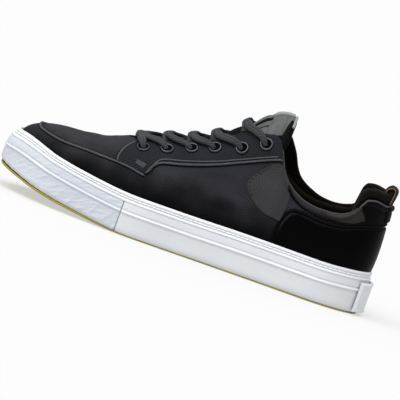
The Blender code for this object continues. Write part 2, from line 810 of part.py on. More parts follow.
def build_eyestay(name, side):
    stations = np.array(
        [0.293, 0.306, 0.325, 0.345, 0.360, 0.374, 0.388, 0.410]
        + [0.450, 0.485, 0.520, 0.555, 0.590]
        + CORNER[: CORNER.index(EYESTAY_END) + 1]
    )
    way = way_at(stations, side)
    low = t_at_height(way, instep_height(smooth(EYESTAY, "low", stations)))
    return overlay(name, way, low, t_top(way), CANVAS, 5)


# Top edge of the heel counter above the sole's side, as a share of the collar's rise.
COUNTER = table(
    "at high",
    [
        (0.727, 0.56),
        (0.735, 0.66),
        (0.752, 0.73),
        (0.800, 0.70),
        (0.869, 0.72),
        (0.915, 0.80),
        (0.955, 0.88),
        (1.000, 0.955),
    ],
)


def build_counter():
    stations = np.array([0.729, 0.737, 0.752, 0.785, 0.820])
    half = np.concatenate([way_at(stations, -1), np.linspace(1 - FAN_SHARE, 1, 9)])
    way = np.concatenate([half, 2 - half[:-1][::-1]])
    col = column(way)
    low = t_at_height(way, col["top"] + CLEARANCE)
    high = t_at_height(way, SIDE_HEIGHT + smooth(COUNTER, "high", col["at"]) * COLLAR_RISE)
    return overlay("heel_counter", way, low, high, COATED, 4)


# Lower and upper edges of the ankle patch above the sole's side, as shares of the collar's rise.
PATCH = table(
    "at low high",
    [
        (0.612, 0.98, 1.06),
        (0.617, 0.88, 1.16),
        (0.626, 0.79, 1.28),
        (0.636, 0.69, 1.41),
        (0.648, 0.61, 1.51),
        (0.664, 0.53, 1.57),
        (0.675, 0.49, 1.60),
        (0.722, 0.40, 2.60),
    ],
)


def build_patch(name, side):
    stations = np.array([0.6125, 0.618] + [at for at in CORNER[1:] if at != EYESTAY_END])
    way = way_at(stations, side)
    low = t_at_height(way, SIDE_HEIGHT + smooth(PATCH, "low", stations) * COLLAR_RISE)
    high = t_at_height(way, SIDE_HEIGHT + smooth(PATCH, "high", stations) * COLLAR_RISE)
    return overlay(name, way, low, np.minimum(high, t_top(way)), COATED, 4, 1.5 * SEWN_GAP)


# Height of the raised seam round the vamp, as a share of the instep's rise.
APRON = table(
    "at rise",
    [
        (0.000, 0.214),
        (0.050, 0.204),
        (0.100, 0.190),
        (0.164, 0.183),
        (0.285, 0.181),
        (0.330, 0.172),
        (0.366, 0.156),
    ],
)


def build_piping():
    half = np.concatenate([np.linspace(0, FAN_SHARE, 9)[:-1], side_ways(TOE_AXIS, 0.366, 9, -1)])
    way = np.concatenate([2 - half[::-1][:-1], half])
    col = column(way)
    t = t_at_height(way, instep_height(smooth(APRON, "rise", col["at"])))
    lift = PIPING_RADIUS + 1.5 * CLEARANCE
    centre = skin(way, t, lift)
    ahead = np.gradient(centre, axis=0)
    ahead = ahead / np.linalg.norm(ahead, axis=1)[:, None]
    normal = skin(way, t, 1.0) - skin(way, t, 0.0)
    across = np.cross(ahead, normal)
    across = across / np.linalg.norm(across, axis=1)[:, None]
    up = np.cross(across, ahead)
    return tube("toe_piping", centre, across, up, PIPING_RADIUS, PIPING_RADIUS, 5, PIPING)


def tube(name, centre, across, up, wide, tall, sides, material):
    """A closed bar with an oval section along a line of points."""
    turn = 2 * np.pi * (np.arange(sides) + 0.5) / sides
    rings = (
        centre[:, None]
        + across[:, None] * wide * np.cos(turn)[None, :, None]
        + up[:, None] * tall * np.sin(turn)[None, :, None]
    )
    count = len(centre)
    faces = triangles_of_grid(count, sides, False, True)
    faces += [(0, j, j + 1) for j in range(1, sides - 1)]
    last = (count - 1) * sides
    faces += [(last, last + j + 1, last + j) for j in range(1, sides - 1)]
    return make_object(name, rings.reshape(-1, 3), faces, material)


# The tongue: half its width as a share of the ball width, how far its face lies under the upper's
# form in walls of the upper, and its thickness as a share.
TONGUE = table(
    "at half under thick",
    [
        (0.262, 0.150, TONGUE_TUCK, 0.45),
        (0.300, 0.190, TONGUE_TUCK, 0.60),
        (0.400, 0.225, TONGUE_TUCK, 0.80),
        (0.520, 0.250, TONGUE_TUCK, 1.00),
        (0.585, 0.262, 1.25, 1.00),
        (0.625, 0.262, 0.60, 1.00),
        (0.650, 0.255, 0.10, 1.25),
        (0.668, 0.235, 0.30, 1.25),
        (0.676, 0.215, 1.10, 0.80),
    ],
)


def build_tongue():
    back = [0.605, 0.628, 0.648, 0.662, 0.670, 0.676]
    stations = np.concatenate([[0.262, 0.285, 0.31], np.linspace(0.345, 0.58, 7), back])
    spread = np.array([-1, -0.82, -0.6, -0.35, 0, 0.35, 0.6, 0.82, 1])
    outer = []
    inner = []
    for part in spread:
        side = -1 if part < 0 else 1
        way = way_at(stations, side)
        half = smooth(TONGUE, "half", stations) * BALL_WIDTH
        t = np.where(part == 0, 1.0, t_at_radius(way, half * abs(part)))
        under = smooth(TONGUE, "under", stations) * UPPER_WALL
        tucked = np.maximum(under, TONGUE_TUCK * UPPER_WALL * (abs(part) > 0.5))
        thin = 1 - 0.55 * abs(part) ** 4
        thick = smooth(TONGUE, "thick", stations) * TONGUE_THICKNESS * thin
        outer.append(skin(way, t, -tucked))
        inner.append(skin(way, t, -tucked - thick))
    return slab_solid("tongue", np.stack(outer), np.stack(inner), GREY_LEATHER)


# Top edge of the padded lining above the sole's side, as a share of the collar's rise.
LINING = table(
    "at top",
    [
        (0.690, 1.49),
        (0.701, 1.36),
        (0.718, 1.25),
        (0.735, 1.16),
        (0.768, 1.06),
        (0.802, 1.03),
        (0.850, 1.06),
        (0.876, 1.15),
        (0.893, 1.33),
        (0.905, 1.62),
        (0.920, 1.79),
        (0.950, 1.83),
        (0.975, 1.80),
        (1.000, 1.76),
    ],
)


def build_lining():
    stations = np.array([0.690, 0.703, 0.718, 0.740, 0.775, 0.815])
    half = np.concatenate([way_at(stations, -1), np.linspace(1 - FAN_SHARE, 1, 10)])
    way = np.concatenate([half, 2 - half[:-1][::-1]])
    col = column(way)
    low = t_at_height(way, SIDE_HEIGHT + LINING_FOOT * COLLAR_RISE)
    high = t_at_height(way, SIDE_HEIGHT + smooth(LINING, "top", col["at"]) * COLLAR_RISE)
    under = UPPER_WALL + 1.3 * CLEARANCE
    outer = []
    inner = []
    for s, thick in zip((0, 0.4, 0.75, 0.93, 1.0), (0.45, 0.9, 1.0, 0.9, 0.45)):
        t = low + (high - low) * s
        outer.append(skin(way, t, -under - LINING_THICKNESS * 0.12 * (s == 1.0)))
        inner.append(skin(way, t, -under - LINING_THICKNESS * thick))
    return slab_solid("collar_lining", np.stack(outer), np.stack(inner), MESH_LINING)


def frame_at(way, t):
    """A point's normal and two directions along the surface."""
    point = skin(way, t, 0.0)
    normal = skin(way, t, 1.0) - point
    ahead = np.cross([0.0, 1.0, 0.0], normal)
    ahead = ahead / np.linalg.norm(ahead, axis=1)[:, None]
    return normal, ahead, np.cross(normal, ahead)


def build_eyelets():
    base = SEWN_GAP + 2 * CLEARANCE + OVERLAY_THICKNESS
    turn = 2 * np.pi * np.arange(9) / 9
    profile = [
        (EYELET_HOLE, 0.0),
        (EYELET_RADIUS, 0.0),
        (0.62 * EYELET_RADIUS + 0.38 * EYELET_HOLE, EYELET_HEIGHT),
        (EYELET_HOLE, 0.5 * EYELET_HEIGHT),
    ]
    for side, word in ((-1, "outer"), (1, "inner")):
        way = way_at(EYELETS["at"], side)
        t = t_at_height(way, instep_height(EYELETS["rise"]))
        centre = skin(way, t, base)
        normal, ahead, across = frame_at(way, t)
        for k in range(len(way)):
            levels = [
                centre[k]
                + radius * (np.cos(turn)[:, None] * ahead[k] + np.sin(turn)[:, None] * across[k])
                + height * normal[k]
                for radius, height in profile
            ]
            ring_solid(f"eyelet_{word}_{k + 1}", levels, METAL, True)


def lace_run(name, side, start, end, lift, both_over):
    """A flat cord from an eyelet over the eyestay's edge and the tongue to the throat's other side.

    start and end are its two eyelets' places in the row, side is where it starts, and lift is its
    height over the upper's form on the middle line. both_over keeps it on top as far as the
    opposite eyelet, as the lowest bar is."""
    way = way_at(EYELETS["at"], -1)
    reach = section(column(way), t_at_height(way, instep_height(EYELETS["rise"])))[0]
    over = SEWN_GAP + 3 * CLEARANCE + OVERLAY_THICKNESS + EYELET_HEIGHT + 0.5 * LACE_THICKNESS
    at_start = EYELETS["at"][start]
    at_end = EYELETS["at"][end]
    throat = smooth(THROAT, "half", np.array([at_start, at_end])) * BALL_WIDTH
    clear = SEWN_GAP + CLEARANCE + OVERLAY_THICKNESS + 0.5 * LACE_THICKNESS
    knots = [0.0, throat[0], reach[start] - 1.2 * EYELET_RADIUS, reach[start]]
    lifts = [lift, clear + LACE_THICKNESS / 4, over, over]
    if both_over:
        knots = [-k for k in knots[:0:-1]] + knots
        lifts = lifts[:0:-1] + lifts
    else:
        knots = [-LACE_END * throat[1]] + knots
        lifts = [-0.5 * LACE_THICKNESS] + lifts
    far = reach[end] if both_over else LACE_END * throat[1]
    radius = np.concatenate([np.linspace(-far, 0, 5)[:-1], np.linspace(0, reach[start], 7)])
    if both_over:
        at = at_start - LACE_BOW / SHOE_LENGTH * (1 - (radius / reach[start]) ** 2)
    else:
        slant = np.interp(radius, [-throat[1], 0.0, reach[start]], [0.02, 0.1, 1.0])
        at = at_end + (at_start - at_end) * slant
    way = way_at(at, np.where(radius < 0, -side, side))
    t = np.where(np.abs(radius) < 1e-6, 1.0, t_at_radius(way, np.abs(radius)))
    centre = skin(way, t, np.interp(radius, knots, lifts))
    normal = skin(way, t, 1.0) - skin(way, t, 0.0)
    ahead = np.gradient(centre, axis=0)
    ahead = ahead / np.linalg.norm(ahead, axis=1)[:, None]
    across = np.cross(ahead, normal)
    across = across / np.linalg.norm(across, axis=1)[:, None]
    return tube(name, centre, across, np.cross(across, ahead), LACE_WIDTH / 2, LACE_THICKNESS / 2, 6, LACE)


def join_solids(keep, other):
    """Unites two solids into the first."""
    union = keep.modifiers.new("join", "BOOLEAN")
    union.operation = "UNION"
    union.solver = "EXACT"
    union.object = other
    other.hide_render = True
    other.display_type = "WIRE"


def build_laces():
    """The bar at the foot of the throat, then one crossing for each pair of eyelets above it."""
    lace_run("lace_bar", -1, 0, 0, 0.35 * LACE_THICKNESS, True)
    for k in range(1, len(EYELETS["at"])):
        under = lace_run(f"lace_crossing_{k}", -1, k, k - 1, 0.1 * LACE_THICKNESS, False)
        over = lace_run(f"lace_over_{k}", 1, k, k - 1, 0.85 * LACE_THICKNESS, False)
        join_solids(under, over)


# The pull tab's path from its outer end over to its inner end: how far in, as a share of its depth,
# and how high, as a share of its height.
TAB = table(
    "at inward up",
    [
        (0.00, 0.00, 0.04),
        (0.15, 0.00, 0.43),
        (0.30, 0.04, 0.78),
        (0.42, 0.24, 0.965),
        (0.52, 0.51, 1.00),
        (0.62, 0.80, 0.90),
        (0.72, 0.97, 0.69),
        (0.86, 1.00, 0.34),
        (1.00, 1.00, 0.09),
    ],
)


def build_tab():
    """Webbing folded over at the back of the collar, from the upper's edge down inside the lining."""
    probe = np.array([1.0])
    radius, height = section(column(probe), t_top(probe))
    half = np.degrees(TAB_WIDTH / 2 / radius[0]) / 90 * FAN_SHARE
    col = column(1 + np.linspace(-half, half, 7))
    inward = radius[0] - UPPER_WALL / 2 - TAB["inward"] * TAB_DEPTH
    up = height[0] + CLEARANCE + TAB["up"] * TAB_HEIGHT
    run = np.stack([np.gradient(inward), np.gradient(up)], 1)
    run = run / np.linalg.norm(run, axis=1)[:, None]
    half_thick = TAB_THICKNESS / 2
    outer = []
    inner = []
    for r, z, n in zip(inward, up, run):
        outer.append(seat(col, r + n[1] * half_thick, z - n[0] * half_thick))
        inner.append(seat(col, r - n[1] * half_thick, z + n[0] * half_thick))
    return slab_solid("pull_tab", np.stack(outer), np.stack(inner), WEBBING)


def main():
    build_outsole()
    build_cup()
    build_bumper()
    build_heel_plate()
    build_insole()
    build_upper()
    build_tongue()
    build_lining()
    build_eyestay("eyestay_outer", -1)
    build_eyestay("eyestay_inner", 1)
    build_counter()
    build_patch("ankle_patch_outer", -1)
    build_patch("ankle_patch_inner", 1)
    build_piping()
    build_tab()
    build_eyelets()
    build_laces()


main()
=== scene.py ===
# %% [markdown]
# # A left skateboarding shoe, dressed for a studio picture
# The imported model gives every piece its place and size. This lesson builds a finer skin for each of them: the sewn
# upper, the stepped rubber sole, the metal eyelets and the laces. Each shape is a function of two parameters, worked
# out with numpy, and each finish is a small node tree that is named for the real material.

import bmesh
import bpy
import numpy as np
from mathutils import Matrix


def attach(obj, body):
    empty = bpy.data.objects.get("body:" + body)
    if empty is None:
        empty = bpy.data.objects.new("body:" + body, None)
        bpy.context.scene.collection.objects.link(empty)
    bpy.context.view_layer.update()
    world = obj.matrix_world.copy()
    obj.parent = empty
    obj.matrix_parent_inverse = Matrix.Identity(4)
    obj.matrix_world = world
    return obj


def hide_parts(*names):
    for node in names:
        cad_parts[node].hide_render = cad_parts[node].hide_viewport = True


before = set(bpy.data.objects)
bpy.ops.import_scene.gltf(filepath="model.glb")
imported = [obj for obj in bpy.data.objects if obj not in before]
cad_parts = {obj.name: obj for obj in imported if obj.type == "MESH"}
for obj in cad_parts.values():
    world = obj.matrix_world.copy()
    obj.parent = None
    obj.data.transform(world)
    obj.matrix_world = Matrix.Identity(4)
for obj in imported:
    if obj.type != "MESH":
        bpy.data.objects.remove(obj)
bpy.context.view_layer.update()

# %% [markdown]
# ## The shoe's own sizes
# A shoe is built on a last, and every panel is cut to it. Here the last is a set of sections. Columns stand round the
# shoe, numbered by `way`: 0 at the tip of the toe, 1 at the back of the heel, 2 at the tip again, along the inner
# side. Each column's section runs from t = 0 at the sole's edge to t = 1 at the top. All the pieces read this form.

# %% Sizes in metres, and the tables of the last
LENGTH = 0.298
BALL_WIDTH = 0.108
SIDE_HEIGHT = 0.032
TOE_SPRING = 0.0164
FOOTBED = 0.0150
INSTEP_RISE = 0.094
COLLAR_RISE = 0.036
WALL = 0.0022
RIM_WALL = 0.0022
RIM_GAP = 0.0005
PLATE = 0.0034
HEEL_PLATE_WALL = 0.0026
CLEARANCE = 0.0003
SIDE_LEAN = 0.0028
HEEL_STRAIGHT = 0.55
TOE_LEAN = 0.0038
TOE_AXIS = 0.181
HEEL_AXIS = 0.852
THROAT_FRONT = 0.285
THROAT_BACK = 0.70
FAN = 0.2
SMALL = 0.001
NEAR_END = 0.97
MM = 0.001


def table(columns, rows):
    """The columns of a small table by name."""
    return dict(zip(columns.split(), np.array(rows, float).T))


OUTLINE = table(
    "at half middle",
    [
        (0.00, 0.70, 0.082), (0.10, 0.845, 0.062), (0.20, 0.955, 0.034), (0.30, 1.00, 0.002),
        (0.37, 0.985, -0.018), (0.45, 0.91, -0.033), (0.55, 0.825, -0.038), (0.65, 0.775, -0.033),
        (0.75, 0.750, -0.022), (0.85, 0.750, -0.010), (1.00, 0.720, 0.004),
    ],
)
SOLE = table(
    "at spring top bed edge",
    [
        (0.000, 1.00, 1.405, 1.78, 0.53), (0.030, 0.83, 1.395, 1.68, 0.53),
        (0.064, 0.67, 1.350, 1.54, 0.53), (0.097, 0.52, 1.285, 1.40, 0.53),
        (0.131, 0.41, 1.215, 1.29, 0.53), (0.164, 0.325, 1.170, 1.20, 0.52),
        (0.198, 0.250, 1.125, 1.12, 0.50), (0.232, 0.185, 1.085, 1.06, 0.46),
        (0.265, 0.120, 1.050, 1.02, 0.42), (0.299, 0.060, 1.018, 1.00, 0.36),
        (0.332, 0.020, 0.995, 0.98, 0.30), (0.366, 0.000, 0.984, 0.98, 0.26),
        (0.500, 0.000, 0.981, 1.02, 0.24), (0.667, 0.000, 1.000, 1.12, 0.26),
        (0.850, 0.000, 1.000, 1.20, 0.32), (0.940, 0.000, 1.030, 1.20, 0.32),
        (1.000, 0.000, 1.060, 1.20, 0.30),
    ],
)
SECTION = table(
    "at out rise crown crest reach",
    [
        (0.000, -0.0600, 0.60, 0.56, 0.97, 0.00), (0.097, -0.0300, 0.68, 0.57, 0.98, 0.00),
        (0.181, -0.0100, 0.74, 0.58, 1.00, 0.00), (0.299, 0.0150, 0.60, 0.52, 1.00, 0.00),
        (0.433, 0.0250, 0.50, 0.44, 1.00, 0.00), (0.567, 0.0250, 0.50, 0.49, 1.00, 0.00),
        (0.668, 0.0250, 0.46, 0.64, 1.00, 0.00), (0.718, 0.0300, 0.40, 0.80, 0.72, 0.66),
        (0.802, 0.0800, 0.38, 0.92, 0.64, 0.82), (0.903, 0.1000, 0.36, 0.93, 0.64, 0.87),
        (1.000, 0.0850, 0.36, 0.94, 0.64, 0.97),
    ],
)
CREST = table(
    "at high",
    [
        (0.181, 0.280), (0.232, 0.308), (0.265, 0.351), (0.299, 0.392), (0.332, 0.415), (0.366, 0.462),
        (0.433, 0.537), (0.500, 0.643), (0.557, 0.785), (0.584, 0.860), (0.601, 0.905), (0.634, 0.972),
        (0.680, 0.985), (0.718, 0.83), (0.802, 0.66), (0.903, 0.72), (1.000, 0.72),
    ],
)
THROAT = table(
    "at half",
    [
        (0.285, 0.0), (0.291, 0.048), (0.305, 0.085), (0.332, 0.110), (0.433, 0.126), (0.567, 0.122),
        (0.668, 0.125),
    ],
)
COLLAR = table(
    "at outer inner",
    [
        (0.600, 4.00, 4.00), (0.617, 2.070, 2.22), (0.641, 2.110, 2.25), (0.655, 2.040, 2.24),
        (0.668, 1.860, 2.17), (0.678, 1.690, 2.08), (0.688, 1.520, 1.97), (0.701, 1.370, 1.80),
        (0.718, 1.240, 1.51), (0.735, 1.145, 1.33), (0.768, 1.035, 1.17), (0.802, 1.000, 1.08),
        (0.830, 1.000, 1.06), (0.852, 1.030, 1.08), (0.876, 1.090, 1.13), (0.895, 1.200, 1.21),
        (0.913, 1.370, 1.37), (0.927, 1.500, 1.50), (0.950, 1.530, 1.53), (0.980, 1.480, 1.48),
        (1.000, 1.540, 1.54),
    ],
)

# %% [markdown]
# A table gives a size at a few places along the shoe. Between them the value follows a curve that never swings past
# its neighbours, so a panel keeps its straight stretches straight.

# %% Reading the tables, and the outline of the sole


def smooth(chart, name, at):
    """Cubic between rows, whose slope at a row is the harmonic mean of its neighbours' slopes, or 0 at a peak."""
    x = chart["at"]
    y = chart[name]
    step = np.diff(x)
    slope = np.diff(y) / step
    bend = np.where(slope[:-1] * slope[1:] > 0, slope[:-1] * slope[1:], 0)
    inner = 2 * bend / np.where(bend > 0, slope[:-1] + slope[1:], 1)
    tangent = np.concatenate([[slope[0]], inner, [slope[-1]]])
    at = np.clip(at, x[0], x[-1])
    i = np.clip(np.searchsorted(x, at, side="right") - 1, 0, len(step) - 1)
    u = (at - x[i]) / step[i]
    low = (2 * u**3 - 3 * u**2 + 1) * y[i] + (u**3 - 2 * u**2 + u) * step[i] * tangent[i]
    high = (3 * u**2 - 2 * u**3) * y[i + 1] + (u**3 - u**2) * step[i] * tangent[i + 1]
    return low + high


def share(x):
    """Share of the length from the toe, of a distance along the shoe from its middle."""
    return x / LENGTH + 0.5


def along(at):
    """Distance along the shoe from its middle, of a share of the length."""
    return (at - 0.5) * LENGTH


def half_width(x):
    """The table's half width times two superellipse ends: (1 - u ** p) ** (1 / p) at toe and heel."""
    at = share(x)
    toe = np.clip((0.20 - at) / 0.20, 0, 1)
    back = 1 - (HEEL_PLATE_WALL + CLEARANCE) / LENGTH
    heel = np.clip((at - back + 0.17) / 0.17, 0, 1)
    ends = (1 - toe**2.4) ** (1 / 2.4) * (1 - heel**2.2) ** (1 / 2.2)
    return smooth(OUTLINE, "half", at) * BALL_WIDTH / 2 * ends


def raw_middle(x):
    """The table's middle line times the ball's width."""
    return smooth(OUTLINE, "middle", share(x)) * BALL_WIDTH


PROBE = along(np.linspace(0, 1, 400))
BALANCE = (np.max(half_width(PROBE) + raw_middle(PROBE)) - np.max(half_width(PROBE) - raw_middle(PROBE))) / 2


def middle(x):
    """The same line moved sideways, so that both sides of the outline reach equally far."""
    return raw_middle(x) - BALANCE


def place(way):
    """Axis point and outward direction of a column: a quarter turn of directions at the toe and at the heel."""
    way = way % 2
    side = np.where(way <= 1, -1.0, 1.0)
    k = np.where(way <= 1, way, 2 - way)
    toe = np.clip(k / FAN, 0, 1) * np.pi / 2
    heel = np.clip((k - 1 + FAN) / FAN, 0, 1) * np.pi / 2
    mid = np.clip((k - FAN) / (1 - 2 * FAN), 0, 1)
    x = along(TOE_AXIS + mid * (HEEL_AXIS - TOE_AXIS))
    out = np.stack([np.sin(heel) - np.cos(toe), side * np.sin(toe) * np.cos(heel)], -1)
    return np.stack([x, middle(x)], -1), out


def outline_reach(way):
    """Distance from each axis point to the outline, found by halving the span forty times."""
    axis, out = place(way)
    near = np.zeros(len(way))
    far = np.full(len(way), LENGTH / 3)
    for _ in range(40):
        half = (near + far) / 2
        x = axis[:, 0] + out[:, 0] * half
        y = axis[:, 1] + out[:, 1] * half
        inside = (np.abs(y - middle(x)) < half_width(x)) & (np.abs(x) < LENGTH / 2)
        near = np.where(inside, half, near)
        far = np.where(inside, far, half)
    return near


WAYS = np.linspace(0, 2, 8001)
REACHES = outline_reach(WAYS)
print("widest reach, mm:", round(REACHES.max() / MM, 1), "columns measured:", len(WAYS))

# %% [markdown]
# ## The last
# A column's section is a four-point (Bezier) curve: it leaves the sole's edge upright, is pulled out a little by the
# foot's side, and is pulled over by the shoulder to the middle line or to the collar. `skin` gives the point at any
# (way, t) and moves it out along the surface's normal, so a facing or a seam always lies on the upper under it.

# %% The form as a function of way and t


def way_at(at, side):
    """The column on the outer (-1) or inner (1) side that crosses a share of the length."""
    k = FAN + (1 - 2 * FAN) * (np.asarray(at, float) - TOE_AXIS) / (HEEL_AXIS - TOE_AXIS)
    return np.where(np.asarray(side) < 0, k, 2 - k)


def column(way):
    """Everything read at a column: its plan, its reach and the sole's heights."""
    way = np.asarray(way, float)
    axis, out = place(way)
    reach = np.interp(way % 2, WAYS, REACHES)
    at = share(axis[..., 0] + out[..., 0] * reach)
    toe = np.clip(1 - at / TOE_AXIS, 0, 1) * np.clip(-out[..., 0], 0, 1)
    heel = np.clip((at - HEEL_AXIS) / (1 - HEEL_AXIS), 0, 1)
    lip = SIDE_LEAN * (1 - HEEL_STRAIGHT * heel) + TOE_LEAN * toe
    return {
        "way": way,
        "axis": axis,
        "out": out,
        "reach": reach,
        "at": at,
        "low": smooth(SOLE, "spring", at) * TOE_SPRING,
        "top": smooth(SOLE, "top", at) * SIDE_HEIGHT,
        "bed": smooth(SOLE, "bed", at) * FOOTBED,
        "edge": smooth(SOLE, "edge", at) * PLATE,
        "lip": lip,
        "foot": reach - lip - RIM_WALL - RIM_GAP,
        "high": smooth(CREST, "high", np.maximum(at, TOE_AXIS)) * INSTEP_RISE + SIDE_HEIGHT,
    }


def seat(col, radius, height):
    """Points at a radius from each column's axis and at a height. Rows of points share their columns."""
    xy = col["axis"] + col["out"] * radius[..., None]
    return np.concatenate([xy, np.broadcast_to(height, radius.shape)[..., None]], -1)


def section(col, t):
    """Radius and height: (1-t)^3 p0 + 3 t (1-t)^2 p1 + 3 t^2 (1-t) p2 + t^3 p3."""
    at = np.maximum(col["at"], 0)
    foot = col["foot"]
    start = col["top"] - RIM_WALL
    tall = col["high"] - start
    r1 = foot * (1 + smooth(SECTION, "out", at))
    z1 = start + tall * smooth(SECTION, "rise", at)
    r2 = foot * smooth(SECTION, "crown", at)
    z2 = start + tall * smooth(SECTION, "crest", at)
    r3 = foot * smooth(SECTION, "reach", at)
    a = (1 - t) ** 3
    b = 3 * t * (1 - t) ** 2
    c = 3 * t**2 * (1 - t)
    d = t**3
    return a * foot + b * r1 + c * r2 + d * r3, a * start + b * z1 + c * z2 + d * col["high"]


def unit(v):
    """Each vector over its length."""
    return v / np.linalg.norm(v, axis=-1, keepdims=True)


def skin(way, t, off=0.0):
    """The form's point, plus off times the normal: the cross product of a step round the shoe and a step up."""
    way, t, off = np.broadcast_arrays(np.asarray(way, float), t, off)
    col = column(way)
    point = seat(col, *section(col, t))
    below = np.minimum(t, NEAR_END)
    rise = seat(col, *section(col, below)) - seat(col, *section(col, below - SMALL))
    before = column(way - SMALL)
    after = column(way + SMALL)
    run = seat(after, *section(after, below)) - seat(before, *section(before, below))
    normal = unit(np.cross(run, rise))
    outward = normal[..., 0] * col["out"][..., 0] + normal[..., 1] * col["out"][..., 1] + 0.5 * normal[..., 2]
    normal = np.where((outward < 0)[..., None], -normal, normal)
    # On the middle line the two sides share one upright normal, and it turns into the sides' own normal below it.
    fan = np.abs(col["out"][..., 0]) > 1e-6
    upright = np.stack([np.where(fan, 0, normal[..., 0]), np.zeros_like(t), normal[..., 2]], -1)
    closed = smooth(SECTION, "reach", np.maximum(col["at"], 0)) < 1e-6
    turn = np.where(closed, np.clip((t - NEAR_END) / (1 - NEAR_END), 0, 1), 0)[..., None]
    normal = unit(normal * (1 - turn) + upright * turn)
    return point + normal * off[..., None]


def halve(way, above):
    """The t at which above(col, t) turns false, found by halving."""
    col = column(way)
    low = np.zeros(np.shape(way))
    high = np.ones(np.shape(way))
    for _ in range(22):
        half = (low + high) / 2
        under = above(col, half)
        low = np.where(under, half, low)
        high = np.where(under, high, half)
    return high


def t_at_height(way, height):
    """The t at which the section has risen to that height."""
    return halve(way, lambda col, t: section(col, t)[1] < height)


def t_at_radius(way, radius):
    """The t at which the section has come in to that radius."""
    return halve(way, lambda col, t: section(col, t)[0] > radius)


def t_top(way):
    """Where a column of the upper ends: at the middle line, at the throat's edge or at the collar's edge."""
    way = np.asarray(way, float)
    at = column(way)["at"]
    rise = np.where((way % 2) > 1, smooth(COLLAR, "inner", at), smooth(COLLAR, "outer", at))
    by_collar = t_at_height(way, SIDE_HEIGHT + rise * COLLAR_RISE)
    by_throat = t_at_radius(way, smooth(THROAT, "half", at) * BALL_WIDTH)
    by_throat = np.where((at <= THROAT_FRONT + 1e-6) | (at > THROAT_BACK), 1.0, by_throat)
    return np.where(at < COLLAR["at"][0], by_throat, np.minimum(by_throat, by_collar))


# %% [markdown]
# Panels and seams are drawn on a side view, as a pattern maker draws them: x along the shoe and z up, in millimetres.
# The side view looks slightly down, so a point further back stands a little higher in it. `spot` turns such a point
# into its way and t, by halving along the shoe and up the section at once.

# %% From the side view to the form
VIEW_SLOPE = 0.096
VIEW_PLANE = 0.046


def seen(point, side):
    """Height of a point in the side view from that side."""
    return point[..., 2] - (side * point[..., 1] - VIEW_PLANE) * VIEW_SLOPE


def t_seen(way, z, side):
    """The t that shows at height z in the side view."""
    return halve(way, lambda col, t: seen(seat(col, *section(col, t)), side) < z)


def spot(points, side=-1):
    """Way and t of side-view points (x, z) in millimetres."""
    x, z = np.array(points, float).T * MM
    low = np.zeros(len(x))
    high = np.ones(len(x))
    for _ in range(22):
        half = (low + high) / 2
        way = half if side < 0 else 2 - half
        t = t_seen(way, z, side)
        col = column(way)
        before = seat(col, *section(col, t))[:, 0] < x
        low = np.where(before, half, low)
        high = np.where(before, high, half)
    way = high if side < 0 else 2 - high
    return way, t_seen(way, z, side)


def curve(points, count):
    """A smooth line through given points: a cubic through each four neighbours, then evened out by length."""
    p = np.array(points, float)
    p = np.vstack([2 * p[0] - p[1], p, 2 * p[-1] - p[-2]])
    u = np.linspace(0, 1, 12, endpoint=False)[:, None]
    runs = [
        0.5 * (2 * b + (c - a) * u + (2 * a - 5 * b + 4 * c - d) * u**2 + (3 * b - a - 3 * c + d) * u**3)
        for a, b, c, d in zip(p[:-3], p[1:-2], p[2:-1], p[3:])
    ]
    line = np.vstack([*runs, p[-2:-1]])
    return even(line, count)


def run_along(line):
    """Length run from a line's first point to each of its points."""
    return np.concatenate([[0], np.cumsum(np.linalg.norm(np.diff(line, axis=0), axis=1))])


def even(line, count):
    """The same line with count points at equal steps of its length."""
    run = run_along(line)
    at = np.linspace(0, run[-1], count)
    return np.stack([np.interp(at, run, line[:, k]) for k in range(line.shape[1])], 1)


# %% [markdown]
# ## From grids to meshes
# Every piece is a grid of points. One function puts a grid into a mesh, with a UV map in millimetres, so that cloth
# and cord carry their weave along the surface. It merges the points that share a place, which closes seams and poles.

# %% One function for every mesh


def grid_faces(rows, across, wrap_rows=False, wrap_across=False):
    """The squares of a grid: corners (i, j), (i, j + 1), (i + 1, j + 1) and (i + 1, j), wrapped where asked."""
    i = np.arange(rows if wrap_rows else rows - 1)[:, None]
    j = np.arange(across if wrap_across else across - 1)[None, :]
    a = i * across + j
    b = i * across + (j + 1) % across
    c = (i + 1) % rows * across + (j + 1) % across
    d = (i + 1) % rows * across + j
    return np.stack([a, b, c, d], -1).reshape(-1, 4)


def make(name, points, faces, materials, uv=None, index=None, crease=None):
    """An object from points, faces, a UV in millimetres and, where a piece has two cloths, each face's material."""
    mesh = bpy.data.meshes.new(name)
    mesh.from_pydata(np.asarray(points, float).reshape(-1, 3).tolist(), [], [list(f) for f in faces])
    for material in materials if isinstance(materials, (list, tuple)) else [materials]:
        mesh.materials.append(material)
    if uv is not None:
        loops = np.empty(len(mesh.loops), np.int32)
        mesh.loops.foreach_get("vertex_index", loops)
        layer = mesh.uv_layers.new(name="millimetres")
        layer.data.foreach_set("uv", np.asarray(uv, np.float32).reshape(-1, 2)[loops].ravel())
    if index is not None:
        mesh.polygons.foreach_set("material_index", np.asarray(index, np.int32))
    edit = bmesh.new()
    edit.from_mesh(mesh)
    bmesh.ops.remove_doubles(edit, verts=edit.verts, dist=4e-6)
    bmesh.ops.dissolve_degenerate(edit, edges=edit.edges, dist=1e-6)
    bmesh.ops.recalc_face_normals(edit, faces=edit.faces)
    edit.to_mesh(mesh)
    edit.free()
    mesh.shade_smooth()
    if crease is not None:
        mesh.set_sharp_from_angle(angle=np.radians(crease))
    thing = bpy.data.objects.new(name, mesh)
    bpy.context.scene.collection.objects.link(thing)
    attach(thing, "root")
    print(name, len(mesh.polygons), "faces")
    return thing


